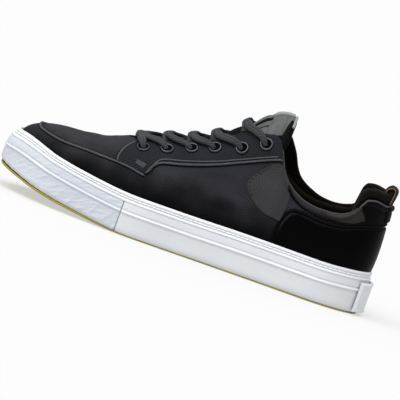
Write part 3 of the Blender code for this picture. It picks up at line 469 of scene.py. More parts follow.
def lengths(points):
    """UV of a grid in millimetres: the mean length run along its columns and rows."""
    across = np.linalg.norm(np.diff(points, axis=1), axis=2)
    up = np.linalg.norm(np.diff(points, axis=0), axis=2)
    u = np.concatenate([np.zeros((len(points), 1)), np.cumsum(across, 1)], 1)
    v = np.concatenate([np.zeros((1, points.shape[1])), np.cumsum(up, 0)], 0)
    u = u - u[:, u.shape[1] // 2][:, None]
    return np.stack([u, v], -1) / MM


def slab(name, outer, inner, materials, **more):
    """A closed solid between two grids of the same size: the rim walks round the grid's edge."""
    rows, across = outer.shape[:2]
    count = rows * across
    front = grid_faces(rows, across)
    rim = np.concatenate(
        [
            np.arange(across),
            np.arange(1, rows) * across + across - 1,
            (rows - 1) * across + np.arange(across - 2, -1, -1),
            np.arange(rows - 2, 0, -1) * across,
        ]
    )
    after = np.roll(rim, -1)
    walls = np.stack([after, rim, rim + count, after + count], 1)
    faces = np.concatenate([front, front[:, ::-1] + count, walls])
    uv = lengths(outer)
    return make(name, np.stack([outer, inner]), faces, materials, uv=np.stack([uv, uv]), **more)


def tube(name, centre, across, up, wide, tall, sides, material, power=2.0):
    """A cord: a superellipse ring at each point of a path, closed by a centre point at both ends."""
    turn = 2 * np.pi * np.arange(sides) / sides
    c = np.sign(np.cos(turn)) * np.abs(np.cos(turn)) ** (2 / power)
    s = np.sign(np.sin(turn)) * np.abs(np.sin(turn)) ** (2 / power)
    wide = np.broadcast_to(wide, len(centre))[:, None, None]
    tall = np.broadcast_to(tall, len(centre))[:, None, None]
    rings = centre[:, None] + across[:, None] * wide * c[None, :, None] + up[:, None] * tall * s[None, :, None]
    ends = [np.repeat(centre[:1, None], sides, 1), rings, np.repeat(centre[-1:, None], sides, 1)]
    rings = np.concatenate(ends)
    run = run_along(centre)
    run = np.concatenate([run[:1], run, run[-1:]]) / MM
    girth = np.arange(sides) / sides * 2 * np.pi * float(np.mean(wide + tall)) / 2 / MM
    uv = np.stack(np.meshgrid(run, girth, indexing="ij"), -1)
    faces = grid_faces(len(rings), sides, wrap_across=True)
    return make(name, rings, faces, material, uv=uv)


# %% [markdown]
# ## Finishes
# A dark shoe under soft light is read by its sheen: cloth scatters light along its threads, coated leather has a soft
# broad gloss, and rubber is a bright, slightly blue white. Each finish below is named for its material and process.

# %% Two helpers for materials


def srgb(code):
    """Linear colour of a hex code: c / 12.92 under 0.04045, else ((c + 0.055) / 1.055) ** 2.4."""
    c = np.array([int(code[i : i + 2], 16) for i in (1, 3, 5)]) / 255
    return (*np.where(c <= 0.04045, c / 12.92, ((c + 0.055) / 1.055) ** 2.4), 1.0)


def add(tree, kind, inputs=None, **settings):
    """Adds one shader node, sets its properties, and fills or links its inputs."""
    made = tree.nodes.new("ShaderNode" + kind)
    for name, value in settings.items():
        setattr(made, name, value)
    for key, value in (inputs or {}).items():
        if isinstance(value, bpy.types.NodeSocket):
            tree.links.new(value, made.inputs[key])
        else:
            made.inputs[key].default_value = value
    return made


def new_material(name, colour, roughness, **sockets):
    """A material whose constant values sit on the shader's own sockets."""
    material = bpy.data.materials.new(name)
    material.use_nodes = True
    shader = material.node_tree.nodes["Principled BSDF"]
    shader.inputs["Base Color"].default_value = srgb(colour)
    shader.inputs["Roughness"].default_value = roughness
    for key, value in sockets.items():
        shader.inputs[key.replace("_", " ")].default_value = value
    return material, material.node_tree, shader


def weave(tree, pitch, spread=1.0, rib=0.0):
    """A plain or twill weave from the UV map: over-and-under threads as the product of two waves, pitch in mm.

    rib is how far the first set of waves runs on unbroken, as the diagonal of a twill does."""
    uv = add(tree, "UVMap", uv_map="millimetres").outputs[0]
    turned = add(tree, "Mapping", {"Vector": uv, "Rotation": (0, 0, spread), "Scale": (1 / pitch, 1 / pitch, 1)})
    parts = add(tree, "SeparateXYZ", {0: turned.outputs[0]})
    waves = []
    for key in (0, 1):
        angle = add(tree, "Math", {0: parts.outputs[key], 1: 2 * np.pi}, operation="MULTIPLY").outputs[0]
        waves.append(add(tree, "Math", {0: angle}, operation="SINE").outputs[0])
    waves[1] = add(tree, "Math", {0: waves[1], 1: 1 - rib, 2: rib}, operation="MULTIPLY_ADD").outputs[0]
    both = add(tree, "Math", {0: waves[0], 1: waves[1]}, operation="MULTIPLY").outputs[0]
    return add(tree, "Math", {0: both, 1: 0.5, 2: 0.5}, operation="MULTIPLY_ADD").outputs[0]


def grain(tree, size, detail=3.0):
    """Noise on the object's own coordinates, whose features are about size metres across."""
    where = add(tree, "TexCoord").outputs["Object"]
    return add(tree, "TexNoise", {"Vector": where, "Scale": 1 / size, "Detail": detail}).outputs[0]


def face(tree, shader, between=None, dark=None, light=None, height=None, depth=0.0, strength=0.4):
    """The surface of a finish: a colour between two hex codes or sockets, and a relief of that depth in metres."""
    if between is not None:
        ends = [srgb(end) if isinstance(end, str) else end for end in (dark, light)]
        colour = add(tree, "Mix", {0: between, 6: ends[0], 7: ends[1]}, data_type="RGBA").outputs[2]
        tree.links.new(colour, shader.inputs["Base Color"])
    if height is not None:
        relief = add(tree, "Bump", {"Height": height, "Distance": depth, "Strength": strength})
        tree.links.new(relief.outputs[0], shader.inputs["Normal"])


# %% [markdown]
# The sole is injection-moulded white rubber: half gloss, very slightly blue, with a fine matt grain from the mould.
# The toe bumper is the same rubber with a crinkled, leathery face. The outsole under them is yellow-olive gum rubber.

# %% Rubber of the sole


def moulded_rubber(name, light, shade, roughness, depth):
    """Rubber whose colour drifts by a few per cent, with grain that a spark-eroded mould leaves on it."""
    material, tree, shader = new_material(name, light, roughness, Specular_IOR_Level=0.3)
    face(tree, shader, grain(tree, 0.030, 2.0), shade, light, grain(tree, 0.0006, 2.0), depth, 0.35)
    return material


WHITE_RUBBER = moulded_rubber("moulded white rubber", "#d9dbde", "#cfd2d6", 0.42, 0.00010)
BUMPER_RUBBER = moulded_rubber("crinkle moulded white rubber", "#cdd1d9", "#c0c5ce", 0.50, 0.00022)
GUM_RUBBER = moulded_rubber("olive gum rubber", "#aa9f45", "#8f8530", 0.52, 0.00012)

# %% [markdown]
# The upper is a fine black twill. Its threads are about 0.4 mm apart, which is under a pixel, so the weave is drawn
# at 1.9 mm, as coarse as it needs to show. The facings are a drier charcoal canvas, which looks dusty. The heel is
# coated leather, which takes a soft dark gleam.

# %% Cloth and leather of the upper


def woven_cloth(name, dark, light, pitch, turn, roughness, depth, sheen, deep=None, rib=0.6):
    """Cloth from the UV map: threads shade the colour and lift the surface, and a slow noise wears it unevenly.

    Where deep is given, it is painted shade: the colour next to the sole, fading out about 33 to 61 mm up."""
    material, tree, shader = new_material(
        name, light, roughness, Specular_IOR_Level=0.08, Sheen_Weight=sheen, Sheen_Roughness=0.4
    )
    threads = weave(tree, pitch, turn, rib)
    cloud = grain(tree, 0.022, 3.0)
    blend = add(tree, "Math", {0: threads, 1: 0.95, 2: -0.16}, operation="MULTIPLY_ADD").outputs[0]
    blend = add(tree, "Math", {0: cloud, 1: 0.45, 2: blend}, operation="MULTIPLY_ADD").outputs[0]
    # Painted shade: the colour darkens towards the sole and fades out higher up.
    if deep:
        up = add(tree, "SeparateXYZ", {0: add(tree, "TexCoord").outputs["Object"]}).outputs[2]
        up = add(tree, "Math", {0: cloud, 1: 0.022, 2: up}, operation="MULTIPLY_ADD").outputs[0]
        low_shade_mix = add(tree, "MapRange", {0: up, 1: 0.044, 2: 0.072}, interpolation_type="SMOOTHSTEP").outputs[0]
        shades = {0: blend, 6: srgb(dark), 7: srgb(light)}
        light = add(tree, "Mix", shades, data_type="RGBA").outputs[2]
        blend, dark = low_shade_mix, deep
    face(tree, shader, blend, dark, light, threads, depth, 0.6)
    return material


def coated_leather(name, dark, light, roughness, pebble, depth, shine=0.12):
    """Leather with a smooth polyurethane face: a fine pebble, a soft gloss and a colour that drifts slightly."""
    material, tree, shader = new_material(name, light, roughness, Specular_IOR_Level=shine)
    where = add(tree, "TexCoord").outputs["Object"]
    cells = add(tree, "TexVoronoi", {"Vector": where, "Scale": 1 / pebble}).outputs[0]
    face(tree, shader, grain(tree, 0.018, 3.0), dark, light, cells, depth)
    return material


# The twill's last colour is painted shade next to the sole.
TWILL = woven_cloth("black twill", "#020203", "#35353c", 1.9, 0.35, 0.72, 0.00040, 0.02, "#020203")
CANVAS = woven_cloth("charcoal canvas", "#020203", "#2a2c32", 1.75, 0.785, 0.80, 0.00045, 0.02)
LINING = woven_cloth("brown-black lining mesh", "#030202", "#15110e", 1.3, 0.78, 0.90, 0.00030, 0.02)
GLOSS_LEATHER = coated_leather("smooth black coated leather", "#020202", "#040405", 0.40, 0.0011, 0.00004, 0.03)
PATCH_MESH = woven_cloth("charcoal mesh", "#111112", "#474648", 1.7, 0.785, 0.7, 0.00040, 0.02, rib=0.0)
TONGUE_LEATHER = coated_leather("grey leather", "#38393a", "#626362", 0.46, 0.0010, 0.00005)
PIPING_LEATHER = coated_leather("dark grey piping", "#3a3b3e", "#4c4d51", 0.50, 0.0008, 0.00005)
INSOLE_CLOTH = woven_cloth("black insole cloth", "#0c0c0e", "#1d1d20", 1.2, 0.2, 0.88, 0.00020, 0.02)

# %% [markdown]
# ## The cup sole
# The side of the cup is one profile carried round the outline. From its top edge down it has a rounded lip, a channel
# for the sewing thread, a thin bead, a plain band, a ridge, and a second band that curls in at the floor.

# %% Profile of the side
RIDGE_STANDS = 0.0011
FOOT_CURL = 0.0016
BUMPER_WALL = 0.0020
BUMPER_TOP = 0.0062
BUMPER_END = 0.3372
RIDGE_DROP = 0.0140
CHANNEL_DROP = 0.0034


def pulse(x, centre, width):
    """A bell curve: e to the power of minus ((x - centre) / width) squared."""
    return np.exp(-(((x - centre) / width) ** 2))


def side_relief(drop):
    """Stand-out at a drop below the top edge: a rounded lip, then one bell curve for each groove, bead and ridge."""
    d = drop / MM
    lip = -1.3 * np.clip(1 - d / 1.5, 0, 1) ** 2
    channel = -0.62 * pulse(d, 2.6, 0.34) - 0.62 * pulse(d, 4.2, 0.34) - 0.15 * pulse(d, CHANNEL_DROP / MM, 1.2)
    bead = 0.60 * pulse(d, 5.8, 0.62)
    under_bead = -0.25 * pulse(d, 7.0, 0.6)
    ridge = 0.95 * pulse(d, 14.4, 0.72) - 0.45 * pulse(d, 12.9, 0.55) - 0.25 * pulse(d, 15.9, 0.5)
    return (lip + channel + bead + under_bead + ridge) * MM


def side_point(col, drop, out=0.0):
    """A point on the cup's side: the outline, less the lean towards the top and the curl at the foot, plus relief."""
    z = col["top"] - drop
    ridge = col["top"] - RIDGE_DROP
    part = np.clip((z - ridge) / RIDGE_DROP, 0, 1)
    inset = RIDGE_STANDS + (col["lip"] - RIDGE_STANDS) * part**1.6
    foot = col["low"] + col["edge"] + CLEARANCE
    curl = FOOT_CURL * np.clip(1 - (z - foot) / (2 * FOOT_CURL), 0, 1) ** 2
    return seat(col, col["reach"] - inset - curl + side_relief(drop) + out, z)


def bed_height(col, radius):
    """Height of the footbed, that far from each column's axis."""
    x = col["axis"][..., 0] + col["out"][..., 0] * radius
    return smooth(SOLE, "bed", share(x)) * FOOTBED


def spring_height(col, radius):
    """Height of the sole's underside, that far from each column's axis."""
    x = col["axis"][..., 0] + col["out"][..., 0] * radius
    return smooth(SOLE, "spring", share(x)) * TOE_SPRING


# %% [markdown]
# The cup is a closed ring of levels: under the plate, up the side, over the lip, down inside and across the footbed.
# Where the toe bumper sits, the side steps back by the bumper's wall.

# %% The cup
ROUND = np.arange(640) / 640 * 2
UNDER_INSET = 0.0095


def build_cup():
    """Rings at the outline's reach less an inset: one ring for each level of the closed profile."""
    col = column(ROUND)
    foot_drop = col["top"] - col["low"] - col["edge"] - CLEARANCE
    fixed = [np.arange(0, 0.0020, 0.00025), np.arange(0.0020, 0.0050, 0.00014), np.linspace(0.0050, 0.0162, 46)]
    fixed = np.concatenate(fixed)
    levels = []
    inner = col["reach"] - UNDER_INSET
    levels += [seat(col, inner * s, spring_height(col, inner * s) + PLATE + CLEARANCE) for s in (0, 0.5, 1)]
    levels.append(seat(col, inner, spring_height(col, inner) + col["edge"] + CLEARANCE))
    drops = [foot_drop - (foot_drop - fixed[-1]) * s for s in np.linspace(0, 1, 9)[:-1]]
    drops += [np.full(len(ROUND), d) for d in fixed[::-1]]
    hidden = (col["at"] < BUMPER_END) * (BUMPER_WALL + CLEARANCE)
    for drop in drops:
        drop = np.minimum(drop, foot_drop)
        back = hidden * (drop > BUMPER_TOP + CLEARANCE)
        levels.append(side_point(col, drop, -back - np.where(back > 0, side_relief(drop), 0)))
    rim = col["reach"] - col["lip"] - RIM_WALL
    levels.append(seat(col, rim, col["top"] - 0.3 * RIM_WALL))
    levels.append(seat(col, rim, bed_height(col, rim)))
    levels += [seat(col, rim * s, bed_height(col, rim * s)) for s in (0.66, 0.33, 0)]
    grid = np.stack(levels)
    faces = grid_faces(*grid.shape[:2], wrap_across=True)
    return make("cup_side", grid, faces, WHITE_RUBBER, uv=lengths(grid), crease=50)


cup_side = build_cup()
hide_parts("cupsole")

# %% [markdown]
# ## The toe bumper
# A separate band of rubber, moulded with a crinkled face like creased leather. The crinkles are ridged waves: folds
# that lean one way, bent by slower waves, each folded about zero so that its crests are sharp.

# %% The bumper
CRINKLE_DEPTH = 0.00023
CRINKLE_MEAN = 0.00025
EDGE_ROUND = 0.0003


def crinkle(along_mm, up_mm):
    """Depth in metres: the sum of folded waves (1 - |sin|) whose phase is bent by slower waves."""
    seeded = np.random.default_rng(5)
    total = np.zeros_like(along_mm)
    for size, strength in ((9.0, 1.0), (5.5, 0.8), (3.4, 0.55), (2.1, 0.35)):
        for _ in range(2):
            lean = seeded.uniform(0.35, 1.2)
            phase = (along_mm * np.cos(lean) + up_mm * np.sin(lean)) / size
            bend = 0.9 * np.sin(along_mm / size / 1.7 + seeded.uniform(0, 6))
            bend += 0.7 * np.sin(up_mm / size * 1.3 + along_mm / size / 3 + seeded.uniform(0, 6))
            total += strength * (1 - np.abs(np.sin(np.pi * phase + bend))) ** 2
    return total * CRINKLE_DEPTH


def build_bumper():
    """The cup's side from BUMPER_TOP down, moved out by the crinkles, on an inner face set back by its wall."""
    last = float(way_at(BUMPER_END - 2 * CLEARANCE / LENGTH, -1))
    ways = np.linspace(-last, last, 420)
    col = column(ways)
    foot_drop = col["top"] - col["low"] - col["edge"] - CLEARANCE
    s = np.concatenate([[0, 0.006, 0.02], np.linspace(0.04, 0.96, 44), [0.98, 0.994, 1]])[:, None]
    drop = BUMPER_TOP + (foot_drop - BUMPER_TOP) * s
    outer = side_point(col, drop)
    uv = lengths(outer)
    fade = np.clip((drop - RIDGE_DROP) / MM / 1.6 - 0.8, 0, 1)
    fade = fade + np.clip(1 - (drop - BUMPER_TOP) / MM / 6.5, 0, 1)
    edge = np.minimum(np.minimum(uv[..., 1], uv[-1, :, 1] - uv[..., 1]), ways_left(uv[..., 0]))
    rounded = -EDGE_ROUND * (1 - np.clip(edge / 0.5, 0, 1)) ** 2
    creased = (crinkle(uv[..., 0], uv[..., 1]) - CRINKLE_MEAN) * np.clip(0.25 + fade, 0, 1)
    outer = side_point(col, drop, rounded + creased)
    inner = side_point(col, drop, -BUMPER_WALL - side_relief(drop))
    return slab("toe_bumper_skin", outer, inner, BUMPER_RUBBER, crease=60)


def ways_left(u):
    """Distance to the nearer end of each row."""
    return np.minimum(u - u[:, :1], u[:, -1:] - u)


bumper = build_bumper()
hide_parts("toe_bumper")

# %% [markdown]
# ## The heel plate and the outsole
# A plain plate with a raised border closes the joint at the back of the cup. The outsole is a thin tread under the
# whole shoe; from the side only its edge shows.

# %% Heel plate and outsole
HEEL_PLATE_LOW = 0.0025
HEEL_PLATE_HIGH = 0.0255
BORDER_STANDS = 0.0005
GROOVE_DEPTH = 0.0012
TREAD_BORDER = 0.008
PLATE_INSET = 0.0098


def quarter(part):
    """Height of a quarter round at a part of its width: the square root of 1 - (1 - part) squared."""
    return np.sqrt(1 - (1 - np.clip(part, 0, 1)) ** 2)


def build_heel_plate():
    """A wall behind the cup: a quarter round at its edge, and a middle that lies a little below its border."""
    spread = FAN * 31 / 90
    ways = 1 + np.linspace(-spread, spread, 61)
    col = column(ways)
    z = np.linspace(HEEL_PLATE_LOW, HEEL_PLATE_HIGH, 41)[:, None]
    base = np.broadcast_to(col["reach"] + CLEARANCE, (41, 61))
    flat = lengths(seat(col, base, z))
    edge = np.minimum(ways_left(flat[..., 0]), np.minimum(flat[..., 1], flat[-1, :, 1] - flat[..., 1]))
    stands = HEEL_PLATE_WALL * quarter((edge + 0.25) / 1.3) - BORDER_STANDS * np.clip(edge - 1.6, 0, 1)
    return slab("heel_plate_skin", seat(col, base + stands, z), seat(col, base, z), WHITE_RUBBER, crease=60)


def tread(points):
    """Depth of the tread's grooves in metres: wavy bars across the shoe, cut by fine straight lines."""
    x = points[..., 0] / MM
    y = points[..., 1] / MM
    bars = np.abs(np.sin(np.pi * (x + 2.6 * np.sin(y / 4.6)) / 9.0))
    lines = np.abs(np.sin(np.pi * y / 11.0))
    return GROOVE_DEPTH * (1 - np.clip((np.minimum(bars, 0.6 + lines) - 0.22) / 0.14, 0, 1))


def build_outsole():
    """Rings at shares of the outline's reach: the tread below, the edge outside, the plate's top within."""
    col = column(ROUND)
    reach = col["reach"]
    foot = reach - RIDGE_STANDS - FOOT_CURL + 0.0004
    border = reach - TREAD_BORDER
    step = reach - PLATE_INSET
    levels = []
    for s in np.linspace(0, 1, 44):
        flat = seat(col, border * s, spring_height(col, border * s))
        flat[:, 2] += tread(flat) * (s < 0.99)
        levels.append(flat)
    for out, up in ((-0.0012, 0.0), (-0.0003, 0.12), (0.0, 0.4), (0.0, 0.75), (-0.0002, 1.0)):
        levels.append(seat(col, foot + out, spring_height(col, foot) + col["edge"] * up))
    levels.append(seat(col, step, spring_height(col, step) + col["edge"]))
    levels += [seat(col, step * s, spring_height(col, step * s) + PLATE) for s in (1, 0.5, 0)]
    grid = np.stack(levels)
    faces = grid_faces(*grid.shape[:2], wrap_across=True)
    return make("outsole_tread", grid, faces, GUM_RUBBER, uv=lengths(grid), crease=45)


heel_plate = build_heel_plate()
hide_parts("heel_plate")
outsole = build_outsole()
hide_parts("outsole")

# %% [markdown]
# ## The upper
# The upper is cut from twill, lasted over the form and padded at the collar. It is one closed shell: the twill
# outside, the lining inside, joined round the collar and the throat. Soft folds are listed, each a line on the
# side view with a width and a depth, so they fall where a worn shoe bends.

# %% Folds and padding
FOLDS = [
    # x, z at one end; x, z at the other; width; height (a trough is negative), all in mm
    ((46, 52), (10, 51), 4.5, 1.3),
    ((50, 44), (2, 42), 5.0, -1.1),
    ((20, 66), (-6, 62), 4.0, -0.7),
    ((30, 66), (-8, 58), 5.0, -0.6),
    ((-12, 56), (-34, 47), 5.0, 0.5),
    ((-66, 70), (-72, 56), 4.0, -0.5),
    ((-84, 64), (-88, 55), 7.0, 0.5),
    ((66, 60), (61, 40), 4.5, -0.7),
    ((-112, 44), (-70, 40), 5.0, 0.5),
]


def relief(way, t):
    """Height in metres of folds and padding: bell curves about lines, and a roll under the collar's edge."""
    side = np.where((way % 2) > 1, 1.0, -1.0)
    col = column(way)
    point = seat(col, *section(col, t))
    p = np.stack([point[..., 0], seen(point, side)], -1) / MM
    total = np.zeros(np.shape(t))
    for start, end, width, height in FOLDS:
        a = np.array(start, float)
        d = np.array(end, float) - a
        u = np.clip(((p - a) @ d) / (d @ d), 0, 1)
        gap = np.linalg.norm(p - a - u[..., None] * d, axis=-1)
        total += height * np.exp(-((gap / width) ** 2)) * np.sin(np.pi * (0.12 + 0.76 * u))
    top = seat(col, *section(col, t_top(way)))[..., 2]
    drop = (top - point[..., 2]) / MM
    collar = np.clip((p[..., 0] - 50) / 14, 0, 1)
    roll = 0.9 * np.sin(np.pi * np.clip(drop / 4.6, 0, 1)) - 0.55 * np.exp(-(((drop - 5.0) / 0.9) ** 2))
    low = np.clip((p[..., 1] - 36) / 8, 0, 1)
    return (total * low + roll * collar * (t > 0.2)) * MM


def cloth(way, t, off=0.0):
    """A point on the finished upper, off metres above the twill."""
    return skin(way, t, off + relief(way, t))


# %% The shell of the upper
LIP_ROUND = 0.0008


def build_upper():
    """The twill up each column, over a rounded lip, and the lining down again at WALL metres inside."""
    tops = t_top(ROUND)
    rise = np.linspace(0, 1, 100)[:, None]
    up = rise * tops
    ways = np.broadcast_to(ROUND, up.shape)
    outer = cloth(ways, up)
    down = np.linspace(1, 0, 34)[:, None] * tops
    wall = WALL * np.ones_like(down)
    lining = skin(np.broadcast_to(ROUND, down.shape), down, -wall)
    closed = column(ROUND)["at"] <= THROAT_FRONT + 1e-6
    turn = 0.5 * (outer[-1] + lining[0])
    lip = np.where(closed[:, None], turn, turn + unit(outer[-1] - outer[-2]) * LIP_ROUND)
    col = column(ROUND)
    foot = seat(col, col["foot"], bed_height(col, col["foot"]) + CLEARANCE)
    foot_in = seat(col, col["foot"] - WALL, bed_height(col, col["foot"]) + CLEARANCE)
    grid = np.concatenate([foot[None], outer, lip[None], lining, foot_in[None]])
    rows = len(grid)
    faces = grid_faces(rows, len(ROUND), wrap_rows=True, wrap_across=True)
    keep = np.ones(len(faces), bool)
    row = np.arange(len(faces)) // len(ROUND)
    j = np.arange(len(faces)) % len(ROUND)
    both = closed[j] & closed[(j + 1) % len(ROUND)]
    keep[((row == len(outer)) | (row == len(outer) + 1)) & both] = False
    index = (row > len(outer)).astype(int)
    uv = lengths(grid)
    return make("upper_shell", grid, faces[keep], [TWILL, LINING], uv=uv, index=index[keep], crease=70)


upper = build_upper()
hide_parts("upper")

# %% [markdown]
# ## Sewn panels
# A panel is a thin sheet that lies on the upper. It is drawn as two lines on the side view, a lower and an upper one,
# with straight threads between them, and its edge is skived: the sheet's height falls off in a quarter round.

# %% A panel between two lines
SUNK = 0.0004
PUFF_REACH = 0.005


def steps(count, fine=(0.004, 0.012, 0.03)):
    """0 to 1 with extra steps close to both ends, where the edge is rounded."""
    fine = np.array(fine)
    return np.concatenate([[0], fine, np.linspace(0.06, 0.94, count), 1 - fine[::-1], [1]])


def ruled(low, high, rows, side):
    """Way and t between two lines of side-view points, which have as many points as each other."""
    w0, t0 = low if isinstance(low, tuple) else spot(low, side)
    w1, t1 = high if isinstance(high, tuple) else spot(high, side)
    s = rows[:, None]
    return w0 + (w1 - w0) * s, t0 + (t1 - t0) * s


def edge_distance(points):
    """Distance in metres from each grid point to the nearest side of its grid, along rows and columns."""
    uv = lengths(points) * MM
    u, v = uv[..., 0], uv[..., 1]
    return np.minimum(np.minimum(u - u[:, :1], u[:, -1:] - u), np.minimum(v, v[-1:] - v))


def panel_on(name, way, t, material, thick=0.0013, edge=0.0011, lift=0.0001, puff=0.0, nodes=(), form=None):
    """A closed sheet: height = thick * sqrt(1 - (1 - d / edge)^2) at distance d from its edge, plus a soft puff."""
    form = form or cloth
    d = edge_distance(form(way, t))
    high = thick * quarter((d + 0.25 * edge) / (1.25 * edge)) + puff * (1 - np.exp(-((d / PUFF_REACH) ** 2)))
    sheet = slab(name, form(way, t, lift + high), form(way, t, lift - SUNK), material, crease=70)
    if nodes:
        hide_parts(*nodes)
    return sheet


# %% [markdown]
# A seam is a row of stitches. Each stitch is a short bead of thread, sunk at both ends, laid along its line on the
# upper; the whole row is one mesh, made by adding every stitch's place to one small template.

# %% A row of stitches


def stitch_row(name, way, t, off, material, pitch=0.0026, length=0.0019, width=0.00075, form=None):
    """Capsules along a line: radius (1 - u^4)^(1/2) at share u of the length, each on its own chord of the line."""
    form = form or cloth
    line = form(way, t, off)
    run = run_along(line)
    count = max(2, int(run[-1] / pitch))
    mid = (np.arange(count) + 0.5) * run[-1] / count
    ways = [np.interp(mid + s * length / 2, run, way) for s in (-1, 1)]
    ts = [np.interp(mid + s * length / 2, run, t) for s in (-1, 1)]
    a, b = form(ways[0], ts[0], off), form(ways[1], ts[1], off)
    normal = unit(form(ways[0], ts[0], off + MM) - a)
    return beads(name, a, b, normal, width / 2, material)


def beads(name, a, b, normal, radius, material):
    """One capsule from each point of a to its partner in b."""
    u = np.array([-1.0, -0.8, 0.0, 0.8, 1.0])
    turn = 2 * np.pi * np.arange(6) / 6
    ring = np.sqrt(np.clip(1 - u**4, 0, 1))
    ahead = (b - a) / 2
    across = unit(np.cross(ahead, normal))
    centre = (a + b)[:, None, None] / 2 + ahead[:, None, None] * u[None, :, None, None]
    c, s = np.cos(turn)[None, None, :, None], np.sin(turn)[None, None, :, None]
    around = across[:, None, None] * c + normal[:, None, None] * s
    points = centre + around * (radius * ring)[None, :, None, None]
    faces = grid_faces(5, 6, wrap_across=True)
    faces = (faces[None] + 30 * np.arange(len(a))[:, None, None]).reshape(-1, 4)
    made = make(name, points, faces, material)
    return made


THREAD, thread_tree, thread_shader = new_material("waxed polyester thread", "#1d1e20", 0.6, Specular_IOR_Level=0.2)
face(thread_tree, thread_shader, height=grain(thread_tree, 0.0003, 1.0), depth=0.00005)
SOLE_THREAD, sole_thread_tree, sole_thread_shader = new_material("white waxed thread", "#eceef1", 0.5)
face(sole_thread_tree, sole_thread_shader, height=grain(sole_thread_tree, 0.0003, 1.0), depth=0.00005)

# %% [markdown]
# ## Eyestays
# The facing that carries the eyelets runs from the toe seam to the collar. Its upper edge is the throat, and its
# lower edge is bound by two raised lines: the piping, and a fold of the canvas just above it.

# %% Eyestays on both sides
EYESTAY_LOW = [
    (-64, 50.6), (-57, 50.2), (-50, 49.6), (-45, 48.9), (-41.3, 49.0), (-39.2, 52),
    (-37, 56.5), (-34, 59.6), (-30, 61.3), (-20, 64), (-10, 67.2), (0, 70.8),
    (10, 75), (20, 79.8), (30, 84.5), (40, 89.3), (48, 92.6), (53, 94.0),
]
EYESTAY_FRONT = [
    (-64, 50.8), (-64.4, 53.5), (-64, 56.5), (-62.8, 60),
    (-60.8, 63.4), (-58.2, 66.4), (-55.4, 69), (-52.6, 71.4),
]
EYESTAY_BACK = [
    (24, 106.0), (30, 107.4), (37, 109.0), (39.5, 109.9), (42.5, 109.6),
    (45.5, 107.6), (48.3, 104.0), (50.4, 100), (52.2, 96.5), (53, 94.4),
]
KEEPER_LEATHER = coated_leather("charcoal keeper leather", "#232527", "#34373b", 0.5, 0.0010, 0.00006)
KEEPER_LOW = [(-50.7, 53.3), (-47, 52.3), (-43.6, 51.4)]
KEEPER_HIGH = [(-50.4, 56.3), (-46, 56.0), (-41.8, 55.3)]


def eyestay_lines(side, count):
    """The facing's upper line: its front edge, then the throat's edge, then its rounded back corner."""
    front = curve(EYESTAY_FRONT, 26)
    back = curve(EYESTAY_BACK, 26)
    fw, ft = spot(front, side)
    bw, bt = spot(back, side)
    at = np.linspace(share(-0.0505), share(0.0165), 60)
    tw = way_at(at, side)
    tt = t_top(tw)
    way = np.concatenate([fw, tw, bw])
    t = np.concatenate([ft, tt, bt])
    t = np.minimum(t, t_top(way))
    line = skin(way, t)
    run = run_along(line)
    at = np.linspace(0, run[-1], count)
    return np.interp(at, run, way), np.interp(at, run, t)


def build_eyestay(word, side):
    """The facing: straight threads between its lower line and its upper line."""
    count = 190
    low = spot(curve(EYESTAY_LOW, count), side)
    high = eyestay_lines(side, count)
    way, t = ruled(low, high, steps(26), side)
    nodes = [f"eyestay_{word}"]
    panel_on(f"eyestay_{word}_canvas", way, t, CANVAS, puff=0.0002, nodes=nodes)
    return high


EYESTAYS = {word: build_eyestay(word, side) for word, side in (("outer", -1), ("inner", 1))}

# %% [markdown]
# ## Piping
# Piping is a cord wrapped in leather and caught in the seam. It is a tube on a flat black leather backing, which
# draws a dark line at its foot: partly the piping's own lip, partly painted shadow under the cord. One runs round
# the vamp like an apron, and one binds each facing's lower edge.

# %% Piping
PIPING_ROUND = 0.00085
# Black leather of seams and of the tongue's foot. As the piping's backing it is partly painted shadow, and beside the
# tongue's grey panel it is painted shadow.
BACKING_AND_SHADOW_THICK = 0.0003
BLACK_LEATHER_AND_SHADOW = coated_leather("black leather and painted shadow line", "#020203", "#070708", 0.6, 0.0008, 0.00003, 0.05)


def cord_sides(line, above):
    """Directions across and up along a path, square to its run, from a rough upward direction."""
    ahead = unit(np.gradient(line, axis=0))
    across = unit(np.cross(ahead, above))
    return across, np.cross(across, ahead)


def piping(name, way, t, radius, material=None, sink=0.25, off=0.0, nodes=(), backing_and_shadow=1.9):
    """A tube, its axis (1 - 2 sink) radii above the cloth, on a flat black leather backing, partly painted shadow."""
    line = cloth(way, t, off + radius * (1 - 2 * sink))
    across, up = cord_sides(line, cloth(way, t, off + MM) - cloth(way, t, off))
    # The backing is partly the piping's own lip and partly painted shadow under the cord.
    if backing_and_shadow:
        flat = cloth(way, t, off + 0.0001)
        wing = tube(name + "_backing_and_shadow", flat, across, up, radius * backing_and_shadow, BACKING_AND_SHADOW_THICK, 8, BLACK_LEATHER_AND_SHADOW)
    size = radius * np.minimum(1, 0.35 + np.minimum(np.arange(len(line)), np.arange(len(line))[::-1]) / 4)
    made = tube(name, line, across, up, size, size, 10, material or PIPING_LEATHER)
    if nodes:
        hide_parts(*nodes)
    return made


APRON = [
    (-128.2, 58.2), (-127.6, 56), (-125.6, 54.6), (-121, 53.2), (-115, 51.9), (-108, 50.9), (-100, 50.6),
    (-90, 50.6), (-80, 50.6), (-70, 50.5), (-60, 50.2), (-52, 49.4), (-46, 48.2), (-41, 47.6),
]


def apron_ways():
    """The apron's line on both sides, joined round the tip of the toe."""
    outer = spot(curve(APRON, 150), -1)
    inner = spot(curve(APRON, 150), 1)
    tip = np.linspace(float(inner[0][0]) - 2, float(outer[0][0]), 40)[1:-1]
    height = section(column(outer[0][:1]), outer[1][:1])[1] + 0.0006 * np.cos(np.linspace(-1.4, 1.4, len(tip)))
    way = np.concatenate([inner[0][::-1] - 2, tip, outer[0]])
    return way, np.concatenate([inner[1][::-1], t_at_height(tip, height), outer[1]])


